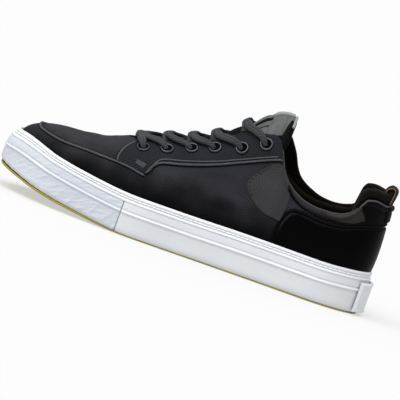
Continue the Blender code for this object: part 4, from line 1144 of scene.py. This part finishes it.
apron_way, apron_t = apron_ways()
piping("apron_piping", apron_way, apron_t, PIPING_ROUND, nodes=["toe_piping"])
for word, side in (("outer", -1), ("inner", 1)):
    way, t = spot(curve(EYESTAY_LOW[4:], 160), side)
    piping(f"facing_piping_{word}", way, t, PIPING_ROUND, off=0.0005)
    way, t = spot(curve(EYESTAY_FRONT[:-1], 70), side)
    piping(f"facing_front_{word}", way, t, 0.0008, off=0.0008, backing_and_shadow=2.2)
    way, t = ruled(curve(KEEPER_LOW, 26), curve(KEEPER_HIGH, 26), steps(8), side)
    panel_on(f"facing_keeper_{word}", way, t, KEEPER_LEATHER, thick=0.0007, lift=0.0014)
    way, t = spot(curve([(x + 0.9, z + 2.6) for x, z in EYESTAY_LOW[4:-1]], 160), side)
    piping(f"facing_fold_{word}", way, t, 0.0006, PIPING_LEATHER, off=0.0012, sink=0.1)

# %% [markdown]
# ## Heel counter, ankle patches and collar panels
# The counter is smooth coated leather round the heel. A mesh patch lies under the collar at the ankle, and a padded
# leather one at the back of the collar. Behind it the heel carries a smooth tab of the counter's leather.

# %% Heel counter
COUNTER_TOP = [
    (67.9, 33.2), (67.6, 39), (68.1, 45), (69.0, 50), (70.6, 54.6), (73.2, 58.2), (76.8, 60.0),
    (82, 59.6), (90, 58.7), (100, 58.6), (110, 60.0), (120, 63.2), (130, 67.2), (137, 69.6),
]


def wrap(points, count, back_height):
    """Way and t of a line round the heel: the outer side's points, the back, and the inner side's."""
    outer = spot(curve(points, count), -1)
    inner = spot(curve(points, count), 1)
    last, first = float(outer[0][-1]), float(inner[0][-1])
    way = np.linspace(last, first, 26)[1:-1]
    ends = [float(section(column(w[-1:]), t[-1:])[1][0]) for w, t in (outer, inner)]
    u = np.linspace(-1, 1, 26)[1:-1]
    height = back_height * MM + (np.interp(u, [-1, 1], ends) - back_height * MM) * u**2
    back = t_at_height(way, height)
    return np.concatenate([outer[0], way, inner[0][::-1]]), np.concatenate([outer[1], back, inner[1][::-1]])


counter_way, counter_t = wrap(COUNTER_TOP, 110, 68.4)
counter_low_way = np.linspace(counter_way[0], counter_way[-1], len(counter_way))
counter_low_t = t_at_height(counter_low_way, column(counter_low_way)["top"] - 0.0006)
s = steps(26)[:, None]
panel_on(
    "heel_counter_leather",
    counter_low_way + (counter_way - counter_low_way) * s,
    counter_low_t + (counter_t - counter_low_t) * s,
    GLOSS_LEATHER,
    nodes=["heel_counter"],
)

# %% [markdown]
# The ankle patch is a triangle of coarse mesh between the facing and the counter. The collar panel behind it is a
# small padded one of leather. Both are ruled between two lines, so that their corners fall where the seams meet.

# %% Ankle patches and collar panels
EDGE_SHARE = 0.004  # a margin below the collar's edge, in t
PATCH_LOW = [
    (54.6, 90.6), (50, 90.4), (45.6, 88.4), (41.8, 84.6), (38.2, 79.4), (34.8, 74.4), (33.2, 70),
    (34.4, 65.4), (38.6, 60.6), (44.6, 55.6), (51.5, 52), (60, 50.8), (66, 50),
]
PATCH_HIGH = [
    (55.0, 91.2), (56, 88.6), (57.6, 85.4), (59.4, 82.4), (61.6, 79.6), (64, 77.2), (65.8, 74),
    (66.6, 70), (66.9, 66), (66.9, 62), (66.6, 58), (66.3, 54), (66, 50.4),
]
PAD_LOW = [(96, 67.2), (99, 66.0), (104, 65.2), (109, 65.4), (114, 66.2), (119, 67.4), (124, 69.8)]
PAD_HIGH = [(96, 67.6), (99, 68.2), (105, 69.4), (110.2, 72), (114, 76), (117.4, 81.0)]
PAD_BACK = [(117.8, 82.6), (121.2, 80.6), (124.2, 77.4), (126.2, 74), (126.0, 71.2), (124.4, 69.9)]

PAD_LEATHER = coated_leather("padded grey-brown leather", "#1d1b1a", "#2d2b29", 0.5, 0.0010, 0.00006)
for word, side in (("outer", -1), ("inner", 1)):
    way, t = ruled(curve(PATCH_LOW, 90), curve(PATCH_HIGH, 90), steps(24), side)
    t = np.minimum(t, t_top(way) - EDGE_SHARE)
    name, nodes = f"ankle_patch_{word}_leather", [f"ankle_patch_{word}"]
    panel_on(name, way, t, PATCH_MESH, thick=0.0007, nodes=nodes)
    pad_low = curve(PAD_LOW, 60)
    pad_high = curve(PAD_HIGH, 46)
    high = np.vstack([pad_high, curve(PAD_BACK, 15)[1:]])
    way, t = ruled(pad_low, even(high, 60), steps(14), side)
    t = np.minimum(t, t_top(way) - EDGE_SHARE)
    panel_on(f"collar_pad_{word}", way, t, PAD_LEATHER, thick=0.0005, puff=0.0009)

# %% [markdown]
# Two dark seams run round the heel, along the counter's top and above it. Each is a thin run of piping, because a
# turned seam stands up as a fine round ridge that catches a line of light.

# %% Seams over the counter
SEAM = [
    (62.0, 78.2), (66, 73.6), (70, 70.2), (75, 67.2), (80, 65.2), (90, 63.2),
    (100, 63.0), (110, 64.2), (118, 66.6), (128, 70.4), (137, 73.0),
]
seam_way, seam_t = wrap(SEAM, 120, 72.6)
piping("collar_seam", seam_way, seam_t, 0.0006, BLACK_LEATHER_AND_SHADOW, sink=0.1)
edge_way, edge_t = wrap([(x - 2.6, z + 1.6) if x < 80 else (x, z + 2.2) for x, z in COUNTER_TOP], 130, 71.0)
piping("counter_piping", edge_way, edge_t, 0.0008, BLACK_LEATHER_AND_SHADOW, sink=0.15)
stitch_row("stitch_collar", seam_way, seam_t - 0.018, 0.0002, THREAD)

# %% [markdown]
# Above the seams the heel is covered with a tab of matt leather, and a grey trim follows the collar's edge. The tab
# is a panel between the seam's own line and the collar's edge, so it meets both at any column.

# %% Heel tab and the trim round the back of the collar
PATCH_BLACK = coated_leather("matt black coated leather", "#020202", "#060607", 0.5, 0.0010, 0.00005, 0.05)
WAY_119 = float(spot([(119.5, 74.0)], -1)[0][0])
TRIM_WAY = float(spot([(118.2, 80.0)], -1)[0][0])


def heel_ways(start, count):
    """Columns in equal steps from a share of the length, round the heel, to the same share again."""
    return np.linspace(float(way_at(start, -1)), 2 - float(way_at(start, -1)), count)


def build_heel_tab():
    """The leather between the collar seam and the collar's edge, over the back of the heel."""
    way = np.linspace(seam_way[np.argmin(np.abs(seam_way - WAY_119))], 2 - WAY_119, 150)
    low = np.interp(way, seam_way, seam_t)
    s = steps(18)[:, None]
    high = t_top(way) - 0.006
    spread = np.broadcast_to(way, (len(s), len(way)))
    panel_on("heel_tab_leather", spread, low + (high - low) * s, PATCH_BLACK, thick=0.0006)


build_heel_tab()
trim_way = np.linspace(TRIM_WAY, 2 - TRIM_WAY, 190)
piping("heel_trim", trim_way, t_top(trim_way) - EDGE_SHARE, 0.0007, PIPING_LEATHER, sink=0.05)

# %% [markdown]
# Facings, patches and the apron are each held by a row of stitches beside the edge. A row is the edge's own line,
# moved over by a millimetre or two, as a sewing machine's guide sets it.

# %% Rows of stitches on the upper
STITCH_INSET = 0.0022  # from the facing's edge
SECTION_RUN = 0.075  # a section's length there, which t = 0 to 1 stands for
ON_FACING = 0.0015
ON_PATCH = 0.0009
ON_CLOTH = 0.0002

for word, side in (("outer", -1), ("inner", 1)):
    way, t = EYESTAYS[word]
    way, t = way[30:], t[30:] - STITCH_INSET / SECTION_RUN
    stitch_row(f"stitch_throat_{word}", way, t, ON_FACING, THREAD)
    way, t = spot(curve([(x + 2.2, z - 0.6) for x, z in EYESTAY_FRONT], 60), side)
    stitch_row(f"stitch_front_{word}", way, t, ON_FACING, THREAD)
    way, t = spot(curve([(x + 1.6 if x < 44 else x, z + 0.2) for x, z in PATCH_LOW[2:9]], 80), side)
    stitch_row(f"stitch_patch_{word}", way, t, ON_PATCH, THREAD, pitch=0.0030, length=0.0020)
    way, t = spot(curve([(x, z + 1.9) for x, z in APRON[2:-3]], 100), side)
    stitch_row(f"stitch_apron_{word}", way, t, ON_CLOTH, THREAD)

# %% [markdown]
# The sole is sewn as well as glued. White thread lies in the channel under the cup's lip, 3.7 mm to the stitch, so
# the channel reads as two broken lines with the thread between them.

# %% Stitches in the sole's channel


SOLE_PITCH = 0.0037
SOLE_STITCH = 0.0029
SOLE_THREAD_ROUND = 0.00040


def build_sole_stitches():
    """Beads of thread at equal steps along the channel, which is the side's own line at one drop."""
    ways = np.linspace(0, 2, 4001)
    line = side_point(column(ways), CHANNEL_DROP * np.ones(len(ways)), 0.0003)
    run = run_along(line)
    count = int(run[-1] / SOLE_PITCH)
    mid = (np.arange(count) + 0.5) * run[-1] / count
    ends = [np.interp(mid + s * SOLE_STITCH / 2, run, ways) for s in (-1, 1)]
    a, b = (side_point(column(w), CHANNEL_DROP * np.ones(count), 0.0) for w in ends)
    normal = np.concatenate([column(ends[0])["out"], np.zeros((count, 1))], 1)
    return beads("stitch_sole", a, b, normal, SOLE_THREAD_ROUND, SOLE_THREAD)


build_sole_stitches()

# %% [markdown]
# ## The tongue, the collar's lining and the insole
# The tongue is a long pad that lies under the throat and ends above it in a top of grey leather, with a lighter band
# sewn down its middle and a bound edge. The lining is a second pad: it fills the collar, and at the heel it stands
# out of it in a soft roll. Both are drawn as pads whose thickness falls off in a half round, because the real foam is
# held flat by its stitching.

# %% The tongue
TONGUE = table(
    "at half under thick",
    [
        (0.262, 0.150, 1.35, 0.45), (0.300, 0.190, 1.35, 0.60), (0.400, 0.225, 1.35, 0.80),
        (0.520, 0.250, 1.35, 1.00), (0.585, 0.262, 1.25, 1.00), (0.625, 0.262, 0.60, 1.00),
        (0.650, 0.255, 0.10, 1.25), (0.668, 0.235, 0.30, 1.25), (0.676, 0.215, 1.10, 0.80),
    ],
)
EYELET_AT = np.array([0.3356, 0.3926, 0.4513, 0.5067, 0.5705, 0.6242])
EYELET_RISE = np.array([0.344, 0.399, 0.470, 0.540, 0.616, 0.712])
TONGUE_FROM = 0.262
TONGUE_TO = 0.676
TONGUE_THICK = 0.0050
GREY_FROM = 0.557
TONGUE_HALF = 0.028
BAND_EDGE = 0.0009
BAND_SUNK = 0.0006
RIM_ROUND = 0.0011
RIM_AT = 0.6735
RIM_LIFT = 0.0012
RIM_LEATHER = coated_leather("light grey leather binding", "#77787a", "#8b8c8d", 0.45, 0.0009, 0.00005, 0.2)


def tongue_place(at, part, off):
    """A point of the tongue: off metres above its face, at a share of its half width either side of the middle."""
    side = np.where(part < 0, -1, 1)
    way = way_at(at, side)
    half = smooth(TONGUE, "half", at) * BALL_WIDTH
    t = np.where(np.abs(part) < 1e-9, 1.0, t_at_radius(way, half * np.abs(part)))
    under = smooth(TONGUE, "under", at) * WALL
    beside = np.clip((np.abs(part) - 0.42) / 0.12, 0, 1)
    out = np.clip((at - 0.560) / 0.012, 0, 1) * np.clip((0.642 - at) / 0.016, 0, 1)
    tucked = np.maximum(under, 1.35 * WALL * beside * (at < 0.62))
    tucked = tucked * (1 - out * beside) - 0.0009 * out * beside
    return skin(way, t, off - tucked)


def level_line(line, rounds):
    """Softens a path: each inner point moves half way to its neighbours' middle, several times."""
    for _ in range(rounds):
        line[1:-1] = 0.5 * line[1:-1] + 0.25 * (line[:-2] + line[2:])
    return line


def build_tongue():
    """A pad: the face stands puff above the form, the back thick below it, and both meet in a half round."""
    at = np.concatenate([np.linspace(TONGUE_FROM, 0.645, 110), np.linspace(0.645, TONGUE_TO, 40)[1:]])
    at, part = np.meshgrid(at, np.linspace(-1, 1, 91))
    round_off = quarter((1 - np.abs(part)) / 0.16) * quarter((TONGUE_TO - at) / 0.011)
    thick = smooth(TONGUE, "thick", at) * TONGUE_THICK * (1 - 0.55 * np.abs(part) ** 4)
    between = 0.5 - 0.5 * np.cos(2 * np.pi * np.interp(at, EYELET_AT, np.arange(6)))
    pillow = 0.0019 + 0.0012 * between * (at < EYELET_AT[5])
    pillow = pillow * np.clip((at - 0.30) / 0.03, 0, 1) * np.clip((0.640 - at) / 0.03, 0, 1)
    puff = pillow * np.clip(1 - (part / 0.46) ** 2, 0, 1)
    puff = puff + 0.0010 * np.clip((at - 0.60) / 0.05, 0, 1) * (1 - part**2)
    channel = 0.0007 * pulse(at, 0.612, 0.004) + 0.0006 * pulse(at, 0.653, 0.0028)
    top = tongue_place(at, part, (puff - channel) * round_off - thick * 0.5 * (1 - round_off))
    under = tongue_place(at, part, -thick * (0.5 + 0.5 * round_off))
    rows, across = at.shape
    middles = (at[:-1, :-1] + at[1:, 1:]) / 2
    # The face is grey leather, and black at the foot and where its sides turn under. The black strip beside the sewn
    # panel is painted shadow under the panel's raised edge.
    aside = np.abs(part[:-1, :-1] + part[1:, 1:]) / 2
    # Painted shadow: a black strip just outside the sewn panel's edge.
    black = (middles < GREY_FROM) | ((aside > 0.20) & (aside < 0.31) & (middles < 0.617))
    black |= middles + 0.030 * np.clip(aside - 0.26, 0, 0.5) > 0.6665 + 0.02 * (aside < 0.36)
    black |= (aside > 0.72) & (middles > 0.615)
    index = np.concatenate([1 - black.ravel(), np.full(black.size, 2), np.full(2 * (rows + across) - 4, 0)])
    made = slab("tongue_pad", top, under, [BLACK_LEATHER_AND_SHADOW, TONGUE_LEATHER, LINING], index=index)
    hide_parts("tongue")


def tongue_band(name, start, stop, half, thick, counts):
    """A band of lighter leather along the middle of the tongue's face, with a quarter round at its edge."""
    at, part = np.meshgrid(np.linspace(start, stop, counts[0]), np.linspace(-half, half, counts[1]))
    edge = np.minimum(np.minimum(at - start, stop - at) * LENGTH, (half - np.abs(part)) * TONGUE_HALF) / BAND_EDGE
    high = thick * quarter(edge + 0.2)
    made = slab(name, tongue_place(at, part, high), tongue_place(at, part, -BAND_SUNK), RIM_LEATHER)


def build_tongue_rim():
    """The binding of the tongue's top edge: a round cord of leather along it."""
    part = np.linspace(-0.60, 0.60, 90)
    at = RIM_AT - 0.004 * part**4
    line = level_line(tongue_place(at, part, RIM_LIFT), 6)
    across, up = cord_sides(line, tongue_place(at, part, MM) - tongue_place(at, part, 0.0))
    rim = tube("tongue_rim", line, across, up, RIM_ROUND, RIM_ROUND, 12, RIM_LEATHER)


build_tongue()
tongue_band("tongue_panel", 0.552, 0.6165, 0.20, 0.0014, (50, 40))
tongue_band("tongue_strip", 0.6185, 0.669, 0.17, 0.0022, (44, 34))
build_tongue_rim()

# %% [markdown]
# The lining's pad runs from one side round the heel to the other. A table gives its upper edge, which is level with
# the collar along the sides and stands up to a centimetre above it at the heel.

# %% The lining
LINING_TOP = table(
    "at top",
    [
        (0.690, 1.49), (0.701, 1.36), (0.718, 1.25), (0.735, 1.16), (0.768, 1.06), (0.802, 1.03),
        (0.850, 1.06), (0.880, 1.10), (0.893, 1.18), (0.902, 1.42), (0.910, 1.66), (0.922, 1.74),
        (0.950, 1.77), (0.975, 1.75), (1.000, 1.71),
    ],
)
LINING_FROM = 0.690
LINING_THICK = 0.0044
LINING_BULGE = 0.0025


def build_lining():
    """A pad between two heights of the collar, whose thickness falls off in a half round at its edges."""
    way = heel_ways(LINING_FROM, 300)
    col = column(way)
    low = t_at_height(way, SIDE_HEIGHT + 0.62 * COLLAR_RISE)
    high = t_at_height(way, SIDE_HEIGHT + smooth(LINING_TOP, "top", col["at"]) * COLLAR_RISE)
    s = np.concatenate([np.linspace(0, 0.8, 34), 1 - 0.2 * np.cos(np.linspace(0, np.pi / 2, 22)[1:])])[:, None]
    t = low + (high - low) * s
    ways = np.broadcast_to(way, t.shape)
    z = seat(col, *section(col, t))[..., 2]
    over = (z - seat(col, *section(col, t_top(way)))[..., 2]) / MM
    down = (z[-1] - z) / MM
    ends = ways_left(np.broadcast_to(lengths(skin(ways, t))[-1:, :, 0], t.shape))
    body = quarter(down / 3.0) * (0.5 + 0.5 * quarter(ends / 3.0))
    bulge = LINING_BULGE * np.clip((over - 0.2) / 3.2, 0, 1) ** 0.8
    seam = 0.0010 * pulse(down, 11.0, 1.3) + 0.0004 * pulse(down, 22.0, 1.2)
    base = -(WALL + 1.3 * CLEARANCE) - LINING_THICK / 2
    foot = np.clip(s / 0.12, 0.2, 1)
    outer = skin(ways, t, base + (LINING_THICK / 2 + bulge) * body)
    inner = skin(ways, t, base - (LINING_THICK / 2 + 0.0006) * body * foot + seam)
    made = slab("collar_lining_pad", outer, inner, LINING)
    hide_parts("collar_lining")


build_lining()

# %% [markdown]
# The insole is a thin cushion of foam under black cloth, cut to the footbed. It is a stack of rings at shares of the
# upper's foot line: it shows only through the collar, and its shape is plain.

# %% The insole
INSOLE_THICK = 0.004
INSOLE_TURN = 0.0012


def build_insole():
    """A thin sheet of foam and cloth: flat in the middle and turned up a little at its edge."""
    col = column(ROUND)
    edge = col["foot"] - WALL - CLEARANCE
    top = []
    for part in np.sqrt(np.linspace(0, 1, 30)):
        up = INSOLE_THICK + INSOLE_TURN * np.clip((part - 0.82) / 0.18, 0, 1) ** 2
        top.append(seat(col, edge * part, bed_height(col, edge * part) + CLEARANCE + up))
    under = [seat(col, edge * part, bed_height(col, edge * part) + CLEARANCE) for part in (1, 0.5, 0)]
    grid = np.stack(top + under)
    faces = grid_faces(*grid.shape[:2], wrap_across=True)
    made = make("insole_cloth_sheet", grid, faces, INSOLE_CLOTH, uv=grid[..., :2] / MM, crease=50)
    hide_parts("insole")


build_insole()

# %% [markdown]
# ## Eyelets and laces
# An eyelet is a tube of brass pressed through the facing and rolled over. It is a profile turned about its own axis,
# and its gunmetal plating gives a dark, blurred mirror.

# %% Eyelets
EYELET_RADIUS = 0.0053
EYELET_HOLE = 0.0034
FACING = 0.0016

METAL, metal_tree, metal_shader = new_material("gunmetal plated brass", "#7a7d83", 0.30, Metallic=1.0)
cloud, marks = grain(metal_tree, 0.004, 3.0), grain(metal_tree, 0.0005, 2.0)
face(metal_tree, metal_shader, cloud, "#2e3033", "#4a4c50", marks, 0.00003)
HOLLOW, hollow_tree, hollow_shader = new_material("shadowed eyelet hole", "#050506", 1.0, Specular_IOR_Level=0.0)
face(hollow_tree, hollow_shader, grain(hollow_tree, 0.002), "#050506", "#0d0d0f")


def eyelet_spots(side):
    """Way and t of the six eyelets of one side."""
    way = way_at(EYELET_AT, side)
    return way, t_at_height(way, SIDE_HEIGHT + EYELET_RISE * INSTEP_RISE)


def build_eyelets(word, side):
    """Rings of radius r and height h(r): a half round from the outer edge to the hole, then a dark floor."""
    way, t = eyelet_spots(side)
    centre = cloth(way, t, FACING)
    normal = unit(cloth(way, t, FACING + MM) - centre)
    ahead = unit(np.cross([0.0, 1.0, 0.0], normal))
    across = np.cross(normal, ahead)
    turn = 2 * np.pi * np.arange(32) / 32
    angle = np.linspace(0, np.pi, 9)
    mid = (EYELET_RADIUS + EYELET_HOLE) / 2
    half = (EYELET_RADIUS - EYELET_HOLE) / 2
    radius = np.concatenate([[EYELET_RADIUS], mid + half * np.cos(angle), [EYELET_HOLE, 0.0]])
    height = np.concatenate([[-0.0007], 0.0004 + 0.0010 * np.sin(angle), [0.0005, 0.0005]])
    ring = ahead[:, None] * np.cos(turn)[None, :, None] + across[:, None] * np.sin(turn)[None, :, None]
    points = (
        centre[:, None, None]
        + ring[:, None] * radius[None, :, None, None]
        + normal[:, None, None] * height[None, :, None, None]
    )
    base = grid_faces(len(radius), 32, wrap_across=True)
    dark = np.repeat((np.arange(len(radius) - 1) >= len(radius) - 2).astype(int), 32)
    faces = (base[None] + len(radius) * 32 * np.arange(6)[:, None, None]).reshape(-1, 4)
    made = make(f"eyelets_{word}", points, faces, [METAL, HOLLOW], index=np.tile(dark, 6), crease=50)
    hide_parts(*[f"eyelet_{word}_{k}" for k in range(1, 7)])


build_eyelets("outer", -1)
build_eyelets("inner", 1)

# %% [markdown]
# The lace is one flat braided cord, whose threads scatter the light to a soft grey speckle. From each eyelet it comes
# up, lies over the facing's edge and crosses the tongue, then goes under the other facing towards the eyelet below.
# Each crossing is a flattened tube on a path that two smooth curves give, one sideways and one upwards.

# %% Laces
LACE_WIDTH = 0.0066
LACE_THICK = 0.0027
LACE_BOW = 0.006
LACE_END = 0.86
LACE_DIP = 0.0016
LACE_CLEAR = 0.0004
LACE_OVER = 0.0010


def braided(name, dark, light, pitch):
    """Braid on a cord's own UV map: two sets of threads that cross at the same slant."""
    material, tree, shader = new_material(
        name, light, 0.74, Sheen_Weight=0.03, Sheen_Roughness=0.4, Specular_IOR_Level=0.1
    )
    threads = weave(tree, pitch, 0.785, 0.3)
    cloud = grain(tree, 0.012, 2.0)
    blend = add(tree, "Math", {0: threads, 1: 0.9, 2: -0.12}, operation="MULTIPLY_ADD").outputs[0]
    blend = add(tree, "Math", {0: cloud, 1: 0.4, 2: blend}, operation="MULTIPLY_ADD").outputs[0]
    face(tree, shader, blend, dark, light, threads, 0.00022, 0.8)
    return material


LACE = braided("dark grey braided polyester", "#030303", "#47484a", 2.1)
WEBBING = braided("black woven webbing", "#060606", "#131314", 1.3)


def lace(name, side, start, end, lift, both_over, node):
    """A flat cord over the form: smooth curves give its place across the throat and its lift above the form."""
    way, t = eyelet_spots(-1)
    reach = section(column(way), t)[0]
    over = FACING + LACE_OVER + 0.5 * LACE_THICK
    throat = smooth(THROAT, "half", EYELET_AT[[start, end]]) * BALL_WIDTH
    clear = FACING + LACE_CLEAR + 0.5 * LACE_THICK
    knots = [0.0, throat[0], reach[start] - EYELET_RADIUS, reach[start] - 0.0018, reach[start] + LACE_DIP]
    lifts = [lift, clear + LACE_THICK / 4, over, over - 0.0003, -0.0014]
    if both_over:
        knots = [-k for k in knots[:0:-1]] + knots
        lifts = lifts[:0:-1] + lifts
    else:
        knots = [-LACE_END * throat[1]] + knots
        lifts = [-0.5 * LACE_THICK] + lifts
    far = reach[end] + LACE_DIP if both_over else LACE_END * throat[1]
    radius = np.linspace(-far, reach[start] + LACE_DIP, 110)
    if both_over:
        at = EYELET_AT[start] - LACE_BOW / LENGTH * (1 - (radius / reach[start]) ** 2)
    else:
        slant = np.interp(radius, [-throat[1], 0.0, throat[0], reach[start]], [-0.20, -0.18, 0.06, 1.0])
        slant = level_line(slant, 24)
        at = EYELET_AT[end] + (EYELET_AT[start] - EYELET_AT[end]) * slant
    way = way_at(at, np.where(radius < 0, -side, side))
    t = t_at_radius(way, np.maximum(np.abs(radius), 1e-6))
    chart = {"at": np.array(knots), "lift": np.array(lifts)}
    high = smooth(chart, "lift", radius)
    centre = level_line(skin(way, t, high), 14)
    normal = unit(level_line(unit(skin(way, t, high + MM) - skin(way, t, high)), 30))
    across, up = cord_sides(centre, normal)
    inside = np.clip((np.abs(radius) - (reach[start] - 0.0050)) / 0.0045, 0, 1) * ((radius > 0) | both_over)
    wide = LACE_WIDTH / 2 * (1 - 0.40 * inside)
    tall = LACE_THICK / 2 * (1 + 0.15 * inside)
    made = tube(name, centre, across, up, wide, tall, 20, LACE, power=2.5)
    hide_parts(node)


lace("lace_bar_cord", -1, 0, 0, 0.35 * LACE_THICK, True, "lace_bar")
for k in range(1, 6):
    lace(f"lace_under_{k}", -1, k, k - 1, 0.1 * LACE_THICK, False, f"lace_crossing_{k}")
    lace(f"lace_over_{k}", 1, k, k - 1, 0.95 * LACE_THICK, False, f"lace_crossing_{k}")

# %% [markdown]
# ## The pull tab
# A loop of woven webbing at the back of the collar, folded over and sewn in. Its cut edges are bound with tan thread.

# %% The pull tab
TAB = table(
    "at inward up",
    [
        (0.00, 0.00, 0.04), (0.15, 0.00, 0.43), (0.30, 0.04, 0.78), (0.42, 0.24, 0.965), (0.52, 0.51, 1.00),
        (0.62, 0.80, 0.90), (0.72, 0.97, 0.69), (0.86, 1.00, 0.34), (1.00, 1.00, 0.09),
    ],
)
TAB_WIDTH = 0.020
TAB_THICK = 0.0020
TAB_HEIGHT = 0.0126
TAB_DEPTH = 0.0074
TAB_LEAN = 0.0020
STRAP_THICK = 0.0018
TAN_THREAD, tan_tree, tan_shader = new_material("tan binding thread", "#6d5539", 0.7)
face(tan_tree, tan_shader, height=grain(tan_tree, 0.0004, 1.0), depth=0.00005)


def build_tab():
    """The table's middle line, with half of TAB_THICK square to its run on both sides, thinner at the edges."""
    probe = np.array([1.0])
    radius, height = section(column(probe), t_top(probe))
    half = np.degrees(TAB_WIDTH / 2 / radius[0]) / 90 * FAN
    col = column(1 + np.linspace(-half, half, 41))
    s = np.linspace(0, 1, 60)
    inward = radius[0] - smooth(TAB, "inward", s) * TAB_DEPTH + TAB_LEAN * np.clip(smooth(TAB, "up", s), 0, 1)
    up = height[0] + CLEARANCE + smooth(TAB, "up", s) * TAB_HEIGHT
    run = unit(np.stack([np.gradient(inward), np.gradient(up)], 1))
    part = np.linspace(-1, 1, 41)
    thin = TAB_THICK / 2 * quarter((1 - np.abs(part)) / 0.08 + 0.3)
    outer = [seat(col, r + n[1] * thin, z - n[0] * thin) for r, z, n in zip(inward, up, run)]
    inner = [seat(col, r - n[1] * thin, z + n[0] * thin) for r, z, n in zip(inward, up, run)]
    made = slab("pull_tab_webbing", np.stack(outer), np.stack(inner), WEBBING)
    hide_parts("pull_tab")
    way = np.linspace(1 - half, 1 + half, 41)
    low = np.interp(way, seam_way, seam_t) + 0.01
    spread = steps(16)[:, None]
    high = t_top(way) - 0.002
    ways, up_t = np.broadcast_to(way, (len(spread), 41)), low + (high - low) * spread
    panel_on("pull_tab_strap", ways, up_t, WEBBING, thick=STRAP_THICK, lift=0.0007)
    for word, end in (("outer", 0), ("inner", -1)):
        line = np.stack([seat(col, np.full(41, r), np.full(41, z))[end] for r, z in zip(inward, up)])
        line[:, 1] += 0.0003 * (-1 if end == 0 else 1)
        edge = tube(f"tab_thread_{word}", line, *cord_sides(line, [0.0, 1.0, 0.0]), 0.00042, 0.0004, 8, TAN_THREAD)


build_tab()

# %% [markdown]
# The cut end of the webbing is turned in between the tab's two legs, so the loop is closed. It is a thin upright
# sheet. The collar's edge in front of the heel is bound with a strip of leather, which is one more run of piping.

# %% Core of the tab, and the binding of the collar


def build_core():
    """The webbing's turned-in end between the two legs of the loop: a thin upright sheet with a rounded top."""
    probe = np.array([1.0])
    radius, height = section(column(probe), t_top(probe))
    half = np.degrees(TAB_WIDTH / 2 / radius[0]) / 90 * FAN * 0.86
    col = column(1 + np.linspace(-half, half, 31))
    s = np.linspace(0, 1, 24)
    deep = (TAB_DEPTH - TAB_THICK) / 2 * np.sqrt(1 - np.clip((s - 0.55) / 0.47, 0, 1) ** 2)
    middle_line = radius[0] - TAB_DEPTH / 2 + TAB_LEAN * s
    z = height[0] - 0.002 + (1.10 * TAB_HEIGHT) * s
    outer, inner = (
        np.stack([seat(col, np.full(31, m + d), up) for m, d, up in zip(middle_line, way_out * deep, z)])
        for way_out in (1, -1)
    )
    slab("pull_tab_core", outer, inner, TAB_CORE)


TAB_CORE = braided("brown woven webbing", "#0b0805", "#2a2014", 1.3)
BINDING = coated_leather("grey-brown leather binding", "#322e2a", "#403b36", 0.5, 0.0009, 0.00005, 0.15)
build_core()
for word, side in (("outer", -1), ("inner", 1)):
    at = np.linspace(0.664, 0.888, 170)
    way = way_at(at, side)
    t = t_top(way) - 0.002
    piping(f"collar_binding_{word}", way, t, 0.0008, BINDING, sink=0.3, off=-0.0008, backing_and_shadow=0)

# %% [markdown]
# ## Floor, light and camera
# A white table, softly lit from below so that shadows stay faint, and a white world give the soft wrap-round light of
# a studio tent, with one large panel overhead. The camera stands level with the shoe's side, about five degrees above
# the floor, and is rolled as the picture was.

# %% Stage
FLOOR = new_material(
    "lit white table", "#909090", 0.9, Specular_IOR_Level=0.0, Emission_Color=srgb("#ffffff"), Emission_Strength=0.52
)[0]
REACH = 12.0
floor_mesh = bpy.data.meshes.new("floor")
corners = [(x * REACH, y * REACH, 0) for x, y in ((-1, -1), (1, -1), (1, 1), (-1, 1))]
floor_mesh.from_pydata(corners, [], [(0, 1, 2, 3)])
floor_mesh.materials.append(FLOOR)
floor = bpy.data.objects.new("floor", floor_mesh)
bpy.context.scene.collection.objects.link(floor)

world = bpy.data.worlds.new("studio")
bpy.context.scene.world = world
world.use_nodes = True
sky = world.node_tree
height = add(sky, "SeparateXYZ", {0: add(sky, "TexCoord").outputs["Generated"]}).outputs[2]
glow = add(sky, "MapRange", {0: height, 1: 0.0, 2: 1.0, 3: 0.10, 4: 1.35}).outputs[0]
sky.links.new(glow, sky.nodes["Background"].inputs["Strength"])
sky.nodes["Background"].inputs["Color"].default_value = (1, 1, 1, 1)


def standing(right, up, back, where):
    """The matrix of a lamp or camera, whose columns are its three directions and its place."""
    return Matrix([[right[k], up[k], back[k], where[k]] for k in range(3)] + [[0, 0, 0, 1]])


def far_panel(name, towards, spread, strength):
    """A soft light so far off that it lights the floor evenly: its direction, its width in degrees, its strength."""
    light = bpy.data.lights.new(name, "SUN")
    light.angle = np.radians(spread)
    light.energy = strength
    lamp = bpy.data.objects.new(name, light)
    back = unit(np.array(towards, float))
    right = unit(np.cross([0.0, 1.0, 0.0], back))
    lamp.matrix_world = standing(right, np.cross(back, right), back, 2 * back)
    bpy.context.scene.collection.objects.link(lamp)


far_panel("panel overhead", (-0.30, -0.38, 0.87), 60, 2.6)

# %% [markdown]
# Such pictures are taken from far away with a long lens, so the shoe shows almost without perspective. The camera
# stands nine metres off, and its focal length follows from the width of the frame there.

# %% Camera
ROLL = np.radians(20.0)
RISE = np.radians(5.5)
DISTANCE = 9.0
FRAME_WIDTH = 0.2995
AIM = np.array([0.0042, -0.046, 0.0447])
back = np.array([0, -np.cos(RISE), np.sin(RISE)])
level = np.array([1.0, 0, 0])
upward = np.array([0, np.sin(RISE), np.cos(RISE)])
right = np.cos(ROLL) * level + np.sin(ROLL) * upward
up = -np.sin(ROLL) * level + np.cos(ROLL) * upward
where = AIM + back * DISTANCE
lens = bpy.data.cameras.new("camera")
lens.sensor_width = 36.0
lens.lens = 36.0 * DISTANCE / FRAME_WIDTH
lens.clip_start = 0.05
camera = bpy.data.objects.new("camera", lens)
camera.matrix_world = standing(right, up, back, where)
bpy.context.scene.collection.objects.link(camera)
bpy.context.scene.camera = camera
bpy.context.scene.view_settings.view_transform = "Standard"
bpy.context.scene.view_settings.look = "None"
